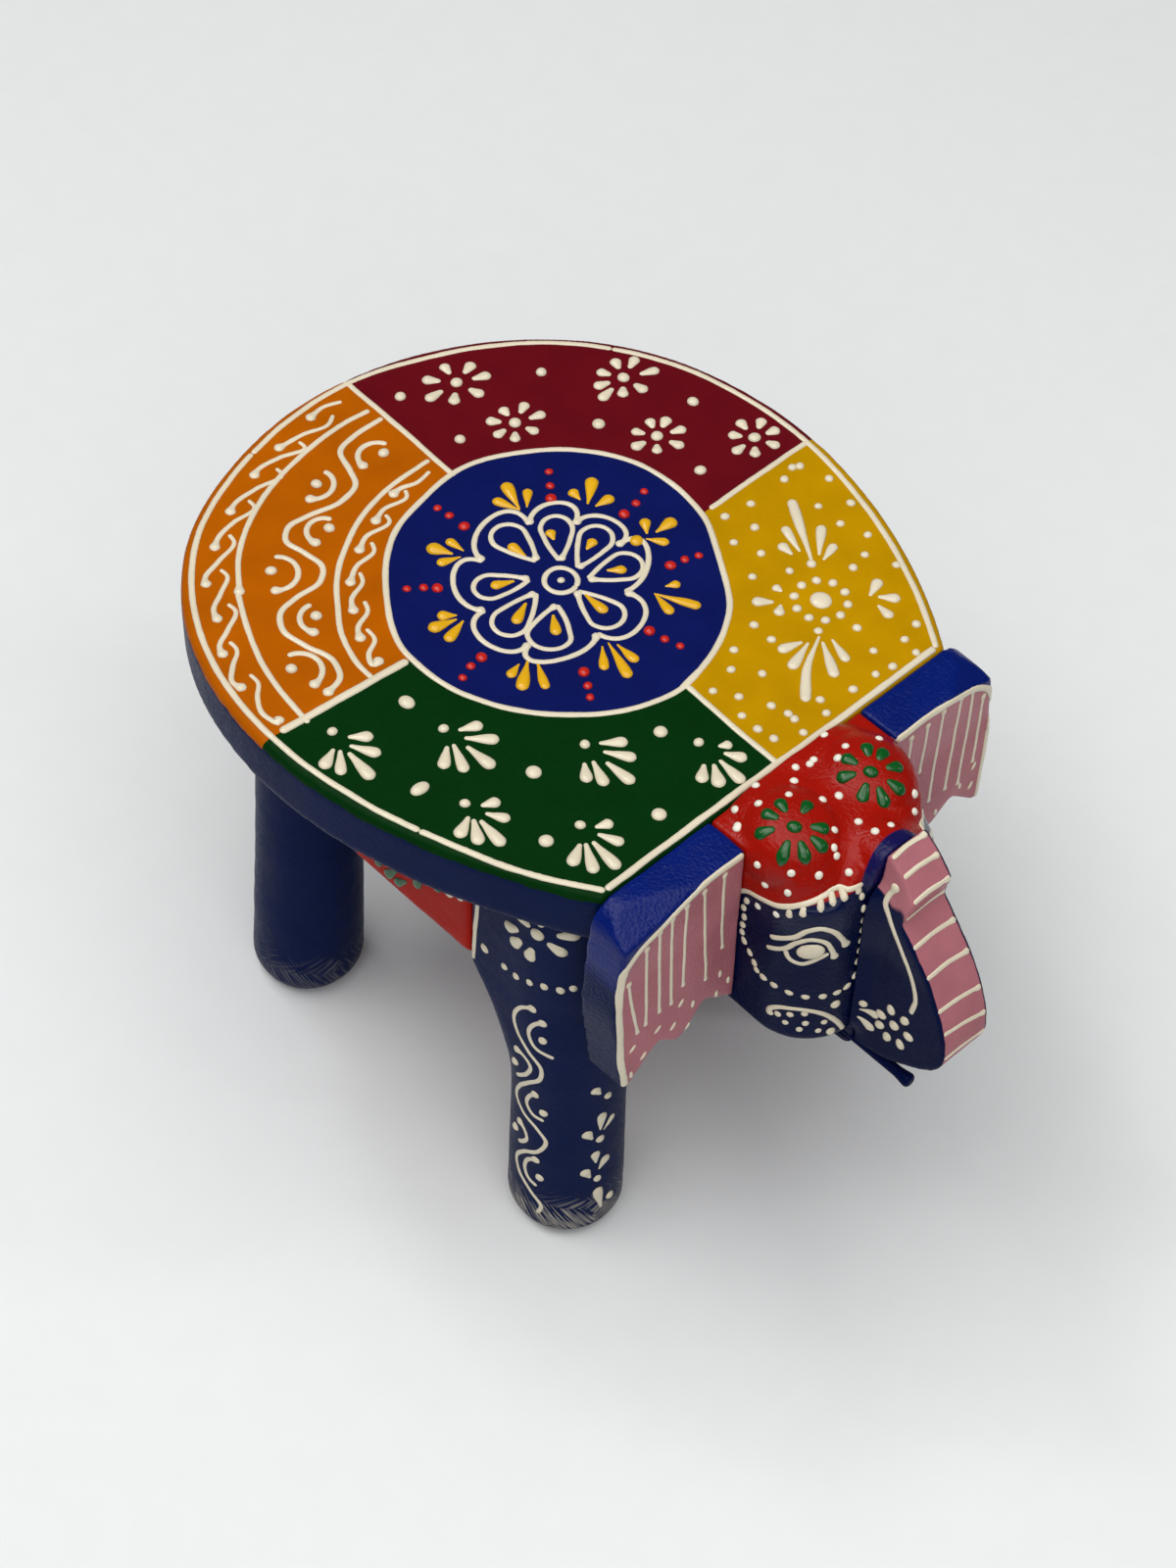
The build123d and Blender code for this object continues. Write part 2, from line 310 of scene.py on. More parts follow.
@dataclass(frozen=True)
class SeatZones:
    """Where the seat's colours meet, in millimetres."""

    centre: Pair = (-27.5, 1.2)
    turn: float = 0.0384
    slop: float = 2.6
    top: float = 170.0
    ring: tuple[Pair, ...] = (
        (49.9, -1.2), (46.2, 13.7), (36.2, 29.4), (21.9, 39.1), (4.8, 47.7), (-8.0, 49.2),
        (-20.0, 47.4), (-34.5, 39.4), (-45.9, 25.1), (-52.1, 9.4), (-50.2, -8.0), (-44.5, -23.8),
        (-28.8, -39.5), (-10.2, -49.2), (6.2, -49.1), (20.5, -44.1), (36.2, -31.9), (46.2, -16.9),
    )

    def ring_path(self) -> list[Pair]:
        """Draw the hand-painted ring round the medallion, closed with a small overlap.

        Returns:
            Places of the ring in the frame of the painted centre.
        """
        return through(self.ring + self.ring[:2], 2.0)

    def mark_ring(self, mesh: bpy.types.Mesh) -> None:
        """Store on each point of the seat how far outside the ring it lies.

        Args:
            mesh: Carved seat.
        """
        path = sorted((math.atan2(y, x), math.hypot(x, y)) for x, y in self.ring_path())
        turns = [turn for turn, _ in path]
        gaps = []
        for vertex in mesh.vertices:
            point = vertex.co / MM - OFFSET
            x0, y0 = point.x - self.centre[0], point.y - self.centre[1]
            x, y = x0 - y0 * self.turn, y0 + x0 * self.turn
            after = bisect.bisect(turns, math.atan2(y, x)) % len(path)
            gaps.append(math.hypot(x, y) - (path[after][1] + path[after - 1][1]) / 2)
        attribute = mesh.attributes.new("ring_gap", "FLOAT", "POINT")
        attribute.data.foreach_set("value", gaps)

    def colour(self, graph: Graph, where: dict[str, bpy.types.NodeSocket]) -> object:
        """Give the colour for each place on the seat board.

        Args:
            graph: Material tree.
            where: Coordinates.

        Returns:
            The colour socket.
        """
        wobble = graph.math("SUBTRACT", graph.noise(where["vector"], 7.0), 0.5)
        x0 = graph.math("SUBTRACT", where["x"], self.centre[0])
        y0 = graph.math("SUBTRACT", where["y"], self.centre[1])
        x = graph.math("SUBTRACT", x0, graph.math("MULTIPLY", y0, self.turn))
        y = graph.math("ADD", y0, graph.math("MULTIPLY", x0, self.turn))
        in_front = graph.rise(x, -0.1, 0.1)
        to_left = graph.rise(y, -0.1, 0.1)
        side_line = graph.math("SUBTRACT", 4.0, graph.math("MULTIPLY", in_front, 3.2))
        far_x = graph.math("SUBTRACT", 7.2, graph.math("MULTIPLY", y, 0.045))
        near_x = graph.math("SUBTRACT", -3.1, graph.math("MULTIPLY", y, -0.0465))
        across = graph.math("ADD", graph.math("MULTIPLY", far_x, to_left),
                            graph.math("MULTIPLY", near_x, graph.math("SUBTRACT", 1.0, to_left)))
        is_left = graph.rise(graph.math("SUBTRACT", y, side_line), -0.15, 0.15)
        is_front = graph.rise(graph.math("SUBTRACT", x, across), -0.15, 0.15)
        rear = graph.choose(is_left, Pigment.ORANGE, Pigment.MAROON)
        front = graph.choose(is_left, Pigment.GREEN, Pigment.YELLOW)
        quarters = graph.choose(is_front, rear, front)
        outside = graph.add("ShaderNodeAttribute", attribute_name="ring_gap").outputs["Fac"]
        top = graph.choose(graph.rise(outside, -0.15, 0.15), Pigment.MEDALLION, quarters)
        edge = graph.math("ADD", where["z"], graph.math("MULTIPLY", wobble, 3.0))
        on_top = graph.rise(edge, self.top - self.slop - 0.2, self.top - self.slop + 0.2)
        return graph.choose(on_top, Pigment.NAVY, top)


def belly_colour(graph: Graph, where: dict[str, bpy.types.NodeSocket]) -> object:
    """Red belly; the rump and the chest between the front legs are navy.

    Args:
        graph: Material tree.
        where: Coordinates.

    Returns:
        The colour socket.
    """
    behind = graph.rise(graph.math("SUBTRACT", 0.0, where["x"]), 30.6, 31.4)
    ahead = graph.rise(where["x"], 16.0, 17.0)
    return graph.choose(graph.math("ADD", behind, ahead), Pigment.RED, Pigment.NAVY)


def leg_colour(graph: Graph, where: dict[str, bpy.types.NodeSocket]) -> object:
    """Navy with grey primer hairs and rubbed spots where the foot has worn.

    Args:
        graph: Material tree.
        where: Coordinates.

    Returns:
        The colour socket.
    """
    unrolled = graph.add("ShaderNodeUVMap", uv_map="unrolled").outputs[0]
    wear = graph.add("ShaderNodeAttribute", attribute_name="wear").outputs["Fac"]
    low = graph.math("SUBTRACT", 1.0, graph.rise(where["z"], 0.5, 33.0))
    patches = graph.noise(where["vector"], 8.0, 2.0)
    level = graph.math("ADD", graph.math("MULTIPLY", low, 0.26),
                       graph.math("MULTIPLY", graph.math("SUBTRACT", patches, 0.5), 0.34))
    layers = []
    for slant, thin in ((-0.95, 2.6), (0.5, 2.8)):
        slanted = graph.add("ShaderNodeMapping", {"Vector": unrolled, "Rotation": (0, 0, slant)},
                            vector_type="POINT").outputs[0]
        long = graph.add("ShaderNodeMapping", {"Vector": slanted, "Scale": (thin, 0.08, 1.0)},
                         vector_type="POINT").outputs[0]
        streaks = graph.add("ShaderNodeTexNoise", {"Vector": long, "Scale": 1.0, "Detail": 0.6,
                                                   "Roughness": 0.5}).outputs[0]
        layers.append(graph.rise(graph.math("ADD", streaks, level), 0.71, 0.77))
    turn = graph.rise(graph.noise(where["vector"], 17.0, 1.0), 0.47, 0.53)
    hairs = graph.math("ADD", graph.math("MULTIPLY", layers[0], turn),
                       graph.math("MULTIPLY", layers[1], graph.math("SUBTRACT", 1.0, turn)))
    hairs = graph.math("MULTIPLY", hairs, graph.math(
        "SUBTRACT", 1.0, graph.rise(where["z"], 13.0, 27.0)))
    bottom = graph.math("SUBTRACT", 1.0, graph.rise(where["z"], 2.0, 9.0))
    rubbed = graph.rise(graph.math("ADD", graph.noise(where["vector"], 3.0, 4.0),
                                   graph.math("MULTIPLY", bottom, 0.16)), 0.64, 0.72)
    rubbed = graph.math("MULTIPLY", rubbed, bottom)
    worn = graph.math("MULTIPLY", graph.math("MAXIMUM", hairs, rubbed), wear)
    return graph.choose(worn, Pigment.NAVY, Pigment.PRIMER)


def head_colour(graph: Graph, where: dict[str, bpy.types.NodeSocket]) -> object:
    """Red cap down to a slanted line, dark navy face below and dark blue by the trunk.

    Args:
        graph: Material tree.
        where: Coordinates.

    Returns:
        The colour socket.
    """
    slope = 0.43
    line = graph.math("ADD", graph.math("MULTIPLY", where["x"], slope), 151.5 - slope * 72)
    above = graph.math("SUBTRACT", where["z"], line)
    cap = graph.rise(above, -0.3, 0.3)
    curve = graph.math("MULTIPLY", graph.math("MULTIPLY", where["y"], where["y"]), 0.016)
    root = graph.rise(graph.math("SUBTRACT", where["x"], curve), 96.6, 97.2)
    red = graph.choose(root, Pigment.CAP_RED, Pigment.ROOT_BLUE)
    return graph.choose(cap, Pigment.DARK_NAVY, red)


def trunk_colour(graph: Graph, where: dict[str, bpy.types.NodeSocket]) -> object:
    """Pink front, dark navy flanks and back, and a dark blue root by the cap.

    Args:
        graph: Material tree.
        where: Coordinates.

    Returns:
        The colour socket.
    """
    wobble = graph.math("SUBTRACT", graph.noise(where["vector"], 8.0), 0.5)
    flank = graph.math("ADD", graph.math("ABSOLUTE", where["y"]),
                       graph.math("MULTIPLY", wobble, 1.2))
    side = graph.rise(flank, 7.6, 8.0)
    root = graph.math("ADD", where["x"], graph.math("MULTIPLY", wobble, 3.0))
    at_root = graph.math("SUBTRACT", 1.0, graph.rise(root, 101.6, 102.2))
    front = graph.choose(at_root, Pigment.PINK, Pigment.ROOT_BLUE)
    under = graph.math("SUBTRACT", where["x"], graph.math("MULTIPLY", where["z"], 0.45))
    behind = graph.math("SUBTRACT", 1.0, graph.rise(under, 66.0, 67.0))
    low = graph.math("SUBTRACT", 1.0, graph.rise(where["z"], 104.0, 105.0))
    front = graph.choose(graph.math("MULTIPLY", behind, low), front, Pigment.DARK_NAVY)
    return graph.choose(side, front, Pigment.DARK_NAVY)


def ear_colour(graph: Graph, where: dict[str, bpy.types.NodeSocket]) -> object:
    """Pink inside the painted edge line; navy outside it, with a painted sheen of brighter blue
    towards the top.

    Args:
        graph: Material tree.
        where: Coordinates.

    Returns:
        The colour socket.
    """
    wobble = graph.math("SUBTRACT", graph.noise(where["vector"], 9.0), 0.5)
    height = graph.math("ADD", where["z"], graph.math("MULTIPLY", wobble, 9.0))
    # Painted sheen: the navy rim is drawn brighter blue towards the top, where light falls on the
    # rounded top.
    rim = graph.choose(graph.rise(height, 143.0, 153.0), Pigment.NAVY, Pigment.SHEEN_BLUE)
    depth = graph.math("ADD", where["x"], graph.math("MULTIPLY", wobble, 0.7))
    inside = graph.add("ShaderNodeAttribute", attribute_name="inside_line").outputs["Fac"]
    face = graph.math("MULTIPLY", graph.rise(depth, 71.2, 71.6), graph.rise(inside, -0.2, 0.2))
    return graph.choose(face, rim, Pigment.PINK)


def wood_colour(graph: Graph, where: dict[str, bpy.types.NodeSocket]) -> object:
    """Bare turned wood with a fine grain.

    Args:
        graph: Material tree.
        where: Coordinates.

    Returns:
        The colour socket.
    """
    stretched = graph.add("ShaderNodeMapping", {"Vector": where["vector"],
                                                "Scale": (1.4, 1.4, 0.12)}).outputs[0]
    grain = graph.noise(stretched, 1.5, 4.0)
    return graph.choose(graph.rise(grain, 0.35, 0.7), Pigment.RAW_WOOD, Pigment.PRIMER)


class Workshop:
    """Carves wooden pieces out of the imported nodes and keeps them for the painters."""

    def __init__(self, nodes: dict[str, bpy.types.Object]) -> None:
        """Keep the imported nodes.

        Args:
            nodes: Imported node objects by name.
        """
        self.nodes = nodes
        self.trees: dict[str, BVHTree] = {}

    @staticmethod
    def bake(piece: bpy.types.Object) -> None:
        """Turn a piece with modifiers into a plain mesh.

        Args:
            piece: Object to change.
        """
        depsgraph = bpy.context.evaluated_depsgraph_get()
        depsgraph.update()
        mesh = bpy.data.meshes.new_from_object(piece.evaluated_get(depsgraph))
        mesh.name = piece.name
        piece.modifiers.clear()
        piece.data = mesh

    def carve(self, spec: "Carving", shape: Callable[[Vector], Vector] | None = None,
              ) -> bpy.types.Object:
        """Carve one piece so that it looks cut and sanded by hand.

        Args:
            spec: What to carve and how.
            shape: Extra shaping for a point in millimetres.

        Returns:
            The carved object, riding on the body.
        """
        solid = bmesh.new()
        solid.from_mesh(self.nodes[spec.node].data)
        bmesh.ops.remove_doubles(solid, verts=solid.verts, dist=0.01 * MM)
        bmesh.ops.recalc_face_normals(solid, faces=solid.faces)
        mesh = bpy.data.meshes.new(spec.node + "_carved")
        solid.to_mesh(mesh)
        solid.free()
        mesh.materials.clear()
        mesh.materials.append(spec.material)
        piece = bpy.data.objects.new(spec.node + "_carved", mesh)
        bpy.context.scene.collection.objects.link(piece)
        remesh = piece.modifiers.new("remesh", "REMESH")
        remesh.mode, remesh.voxel_size = "VOXEL", spec.voxel * MM
        smooth = piece.modifiers.new("smooth", "SMOOTH")
        smooth.factor, smooth.iterations = 0.5, spec.smoothing
        self.bake(piece)
        normals = [vertex.normal.copy() for vertex in piece.data.vertices]
        offset = Vector((spec.seed * 7.3, spec.seed * 3.1, 0.0))
        for vertex, normal in zip(piece.data.vertices, normals):
            point = vertex.co / MM - OFFSET
            if shape is not None:
                point = shape(point)
            lump = noise.noise(point / 19.0 + offset) + 0.4 * noise.noise(point / 7.0 + offset)
            point += normal * (lump - 0.8) * spec.hand
            vertex.co = (point + OFFSET) * MM
        piece.data.shade_smooth()
        piece.data.update()
        self.trees[spec.node] = BVHTree.FromPolygons(
            [vertex.co.copy() for vertex in piece.data.vertices],
            [tuple(face.vertices) for face in piece.data.polygons])
        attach(piece, BODY)
        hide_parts(spec.node)
        log.info("%s: %d faces", piece.name, len(piece.data.polygons))
        return piece


@dataclass(frozen=True)
class Carving:
    """One wooden piece: its node, its paint and how finely it is carved (mm)."""

    node: str
    slot: str
    material: bpy.types.Material
    voxel: float
    smoothing: int
    hand: float
    seed: int


@dataclass(frozen=True)
class HeadShape:
    """Saddle of the cap and the rounding of the head's far top corner, in millimetres."""

    start: float = 146.0
    full: float = 165.0
    centre_x: float = 60.0
    half_x: float = 43.5
    half_y: float = 28.8
    dome_x: float = 76.5
    dome_y: float = 13.8
    dome_low: float = 158.0
    dome_rise: float = 18.4
    reach_back: float = 26.0
    reach_front: float = 19.0
    reach_side: float = 16.5
    seat_level: float = 169.6
    blend: float = 2.2
    seat_fall: float = 0.0016
    seat_slope: float = 0.9
    seat_end: float = 64.0
    valley: float = 173.2
    valley_bow: float = 0.035
    valley_fall: float = 0.004
    valley_end: float = 78.0
    cap_from: float = 155.0
    rim_x: Pair = (60.4, 101.0)
    rim_y: float = 27.6
    squash: float = 0.14
    squash_from: float = 172.0
    corner_x: Pair = (72.0, 80.0)

    def cap(self, x: float, y: float) -> float:
        """Height of the cap: two domes that melt into the seat's edge and into each other.

        Args:
            x: Place towards the head.
            y: Place towards the elephant's left.

        Returns:
            Height above the floor.
        """
        heights = [self.seat_level - self.seat_fall * abs(y) ** 2.2
                   - self.seat_slope * max(x - self.seat_end, 0.0)]
        for middle in (-self.dome_y, self.dome_y):
            reach = self.reach_back if x < self.dome_x else self.reach_front
            share = ((x - self.dome_x) / reach) ** 2 + ((y - middle) / self.reach_side) ** 2
            heights.append(self.dome_low + self.dome_rise * math.sqrt(max(1 - share, 0.0)))
        heights.append(self.valley - self.valley_bow * y * y
                       - self.valley_fall * max(x - self.valley_end, 0.0) ** 2)
        top = max(heights)
        return top + self.blend * math.log(sum(math.exp((h - top) / self.blend) for h in heights))

    def __call__(self, point: Vector) -> Vector:
        """Melt the cap's creases away and draw the far top corner in.

        Args:
            point: Place on the head.

        Returns:
            The new place.
        """
        back, front = self.rim_x
        if point.z > self.cap_from and abs(point.y) < self.rim_y and back < point.x < front:
            inside = min(ease(self.rim_y - abs(point.y), 0, 3.0), ease(front - point.x, 0, 4.0),
                         ease(point.z, self.cap_from, self.cap_from + 5))
            rise = max(self.cap(point.x, point.y) - point.z, 0.0)
            point = point + Vector((0, 0, rise * inside))
            point.z -= self.squash * max(point.z - self.squash_from, 0.0)
        if point.y <= 0 or point.z < self.start or point.x < self.corner_x[0]:
            return point
        reach = math.hypot((point.x - self.centre_x) / self.half_x, point.y / self.half_y)
        if reach <= 1:
            return point
        share = ease(point.z, self.start, self.full) * ease(point.x, *self.corner_x)
        factor = 1 + share * (1 / reach - 1)
        return Vector((self.centre_x + (point.x - self.centre_x) * factor, point.y * factor,
                       point.z))


@dataclass(frozen=True)
class TrunkShape:
    """Flare at the trunk's root, shaved brow and drawn-in tip, in millimetres."""

    root_x: float = 101.5
    length: float = 7.0
    flare: float = 3.6
    low: float = 99.0
    high: float = 160.0
    shave: float = 0.36
    tip: float = 124.0
    pull: float = 0.06
    flank: Pair = (6.0, 8.6)
    brow: Pair = (152.0, 173.0)

    def __call__(self, point: Vector) -> Vector:
        """Spread the root, shave the right side of the brow and draw the tip in.

        Args:
            point: Place on the trunk.

        Returns:
            The new place.
        """
        share = min(max(1 - (point.x - self.root_x) / self.length, 0.0), 1.0) ** 2
        share *= (ease(point.z, self.low, self.low + 10)
                  * (1 - ease(point.z, self.high, self.high + 6)))
        side = ease(abs(point.y), *self.flank)
        place = point + Vector((0, math.copysign(self.flare * share * side, point.y), 0))
        if place.y < 0:
            place.y *= self.narrow(place.z)
        place.x -= self.pull * max(place.x - self.tip, 0.0)
        return place

    def narrow(self, height: float) -> float:
        """Share of the half width that the right side keeps where the brow is shaved.

        Args:
            height: Height above the floor.

        Returns:
            The share.
        """
        return 1 - self.shave * ease(height, *self.brow)


def ease(value: float, low: float, high: float) -> float:
    """Smooth 0 to 1 ramp.

    Args:
        value: Value to read.
        low: Value that gives 0.
        high: Value that gives 1.

    Returns:
        The ramp's value.
    """
    share = min(max((value - low) / (high - low), 0.0), 1.0)
    return share * share * (3 - 2 * share)


class Woodwork:
    """All the carved wooden pieces."""

    def __init__(self, workshop: Workshop) -> None:
        """Keep the workshop and mix the enamels.

        Args:
            workshop: Place where the pieces are carved.
        """
        self.workshop = workshop
        self.seat = new_material("seat_enamel", SATIN, SeatZones().colour)
        self.belly = new_material("belly_enamel", SATIN, belly_colour)
        self.leg = new_material("leg_enamel", SATIN, leg_colour)
        self.head = new_material("head_enamel", WET, head_colour)
        self.trunk = new_material("trunk_enamel", STICKY, trunk_colour)
        self.ear = new_material("ear_enamel", WET, ear_colour)
        self.tusk = plain("tusk_enamel", Pigment.DARK_NAVY, SATIN)
        self.wood = new_material("bare_wood", SATIN, wood_colour)

    def build(self) -> None:
        """Carve every piece and finish the dowels."""
        carve = self.workshop.carve
        seat = carve(Carving("seat_board", "seat_paint", self.seat, 1.2, 4, 0.12, 1))
        SeatZones().mark_ring(seat.data)
        carve(Carving("body_block", "belly_paint", self.belly, 1.6, 4, 0.2, 2))
        for number, name in enumerate(("front_left", "front_right", "rear_left", "rear_right")):
            leg = carve(Carving("leg_" + name, "leg_paint", self.leg, 1.0, 6, 0.25, 3 + number))
            self.unroll(leg, 1.0 if name.startswith("front") else 0.25)
        carve(Carving("head_block", "head_paint", self.head, 0.8, 10, 0.25, 7), HeadShape())
        carve(Carving("trunk", "trunk_paint", self.trunk, 0.8, 4, 0.2, 8), TrunkShape())
        for number, name in enumerate(("ear_left", "ear_right")):
            ear = carve(Carving(name, "ear_paint", self.ear, 0.8, 5, 0.3, 9 + number))
            self.mark_face(ear, EAR_EDGES[name])
        for side in ("left", "right"):
            carve(Carving("tusk_" + side, "tusk_paint", self.tusk, 0.35, 3, 0.05, 11))
        for name, node in self.workshop.nodes.items():
            if name.endswith("dowels"):
                node.data.materials.clear()
                node.data.materials.append(self.wood)

    def mark_face(self, ear: bpy.types.Object, edge: Sequence[Pair]) -> None:
        """Store on each point of an ear how far inside the painted edge line it lies.

        Args:
            ear: Carved ear.
            edge: Places of the line as y, z, from the head outwards and down.
        """
        path = [Vector(place) for place in through(edge, 1.5)]
        side = math.copysign(1.0, path[-1].x)
        gaps = []
        for vertex in ear.data.vertices:
            point = vertex.co / MM - OFFSET
            spot = Vector((point.y, point.z))
            best, gap = 1e9, 0.0
            for start, end in zip(path, path[1:]):
                along = end - start
                share = min(max((spot - start).dot(along) / along.length_squared, 0.0), 1.0)
                away = spot - start - along * share
                if away.length < best:
                    best = away.length
                    gap = math.copysign(best, side * (along.x * away.y - along.y * away.x))
            gaps.append(-gap)
        attribute = ear.data.attributes.new("inside_line", "FLOAT", "POINT")
        attribute.data.foreach_set("value", gaps)

    def unroll(self, leg: bpy.types.Object, wear: float) -> None:
        """Give a leg the flat coordinates and the wear that its paint reads.

        Args:
            leg: Carved leg.
            wear: 1 for a worn foot, 0 for a fresh one.
        """
        mesh = leg.data
        low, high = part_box(leg.name.replace("_carved", ""))
        middle = (low + high) / 2
        layer = mesh.uv_layers.new(name="unrolled")
        for loop in mesh.loops:
            point = mesh.vertices[loop.vertex_index].co
            turn = math.atan2(point.x - middle.x, abs(middle.y) - abs(point.y))
            layer.data[loop.index].uv = (turn * LEG_RADIUS, point.z / MM)
        attribute = mesh.attributes.new("wear", "FLOAT", "POINT")
        attribute.data.foreach_set("value", [wear] * len(mesh.vertices))


class Patch:
    """Maps flat pattern coordinates in millimetres onto a carved surface."""

    def __init__(self, tree: BVHTree, ray: Callable[[float, float], Ray]) -> None:
        """Keep the surface and the way onto it.

        Args:
            tree: Carved surface.
            ray: Rule that gives a start point and a direction, in metres, for a place.
        """
        self.tree, self.ray = tree, ray

    def place(self, u: float, v: float) -> tuple[Vector, Vector]:
        """Find a place of the pattern on the surface.

        Args:
            u: First pattern coordinate.
            v: Second pattern coordinate.

        Returns:
            The point in metres and the way the surface faces.
        """
        origin, direction = self.ray(u, v)
        origin = origin + OFFSET * MM
        point, normal, _, _ = self.tree.ray_cast(origin, direction)
        if point is None:
            point, normal, _, _ = self.tree.find_nearest(origin + direction * 0.15)
        return point, (normal if normal.dot(direction) < 0 else -normal)


def from_above(u: float, v: float) -> Ray:
    """Ray down onto row coordinates x, y.

    Args:
        u: x in millimetres.
        v: y in millimetres.

    Returns:
        Start point and direction.
    """
    return Vector((u * MM, v * MM, RAY_TOP)), Vector((0, 0, -1))


def from_divider(u: float, v: float) -> Ray:
    """Ray down onto the seat in the frame of its painted centre.

    Args:
        u: Towards the head, in millimetres from the medallion.
        v: Towards the elephant's left.

    Returns:
        Start point and direction.
    """
    zones, along = SeatZones(), 0.9993
    return from_above(zones.centre[0] + along * u + zones.turn * v,
                      zones.centre[1] - zones.turn * u + along * v)


def from_front(u: float, v: float) -> Ray:
    """Ray back onto row coordinates y, z.

    Args:
        u: y in millimetres.
        v: z in millimetres.

    Returns:
        Start point and direction.
    """
    return Vector((RAY_SIDE, u * MM, v * MM)), Vector((-1, 0, 0))


def from_right(u: float, v: float) -> Ray:
    """Ray across onto row coordinates x, z.

    Args:
        u: x in millimetres.
        v: z in millimetres.

    Returns:
        Start point and direction.
    """
    return Vector((u * MM, -RAY_SIDE, v * MM)), Vector((0, 1, 0))


def round_corner(centre: Pair, radius: float) -> Callable[[float, float], Ray]:
    """Make the rule for a flat side that turns round a corner, such as the cheek.

    Args:
        centre: Middle of the corner's arc in plan.
        radius: Radius of the arc.

    Returns:
        The rule.
    """
    def ray(u: float, v: float) -> Ray:
        """Ray for one place of the pattern."""
        if u <= centre[0]:
            return from_right(u, v)
        turn = (u - centre[0]) / radius
        if turn >= math.pi / 2:
            return from_front(centre[1] + (turn - math.pi / 2) * radius, v)
        out = Vector((math.sin(turn), -math.cos(turn), 0))
        return Vector((centre[0] * MM, centre[1] * MM, v * MM)) + out * RAY_CORNER, -out
    return ray


def round_post(centre: Pair, radius: float) -> Callable[[float, float], Ray]:
    """Make the rule for a round leg.

    Args:
        centre: Axis of the leg in plan.
        radius: Radius at which the pattern is measured.

    Returns:
        The rule.
    """
    def ray(u: float, v: float) -> Ray:
        """Ray for one place of the pattern."""
        out = Vector((math.sin(u / radius), -math.cos(u / radius), 0))
        return Vector((centre[0] * MM, centre[1] * MM, v * MM)) + out * RAY_LEG, -out
    return ray


@dataclass(frozen=True)
class Bead:
    """One raised dot or petal, in metres."""

    point: Vector
    facing: Vector
    along: Vector
    size: Vector


@dataclass(frozen=True)
class Trail:
    """One raised line: its places, the way they face and its half widths, in metres."""

    points: list[Vector]
    facings: list[Vector]
    halves: list[float]


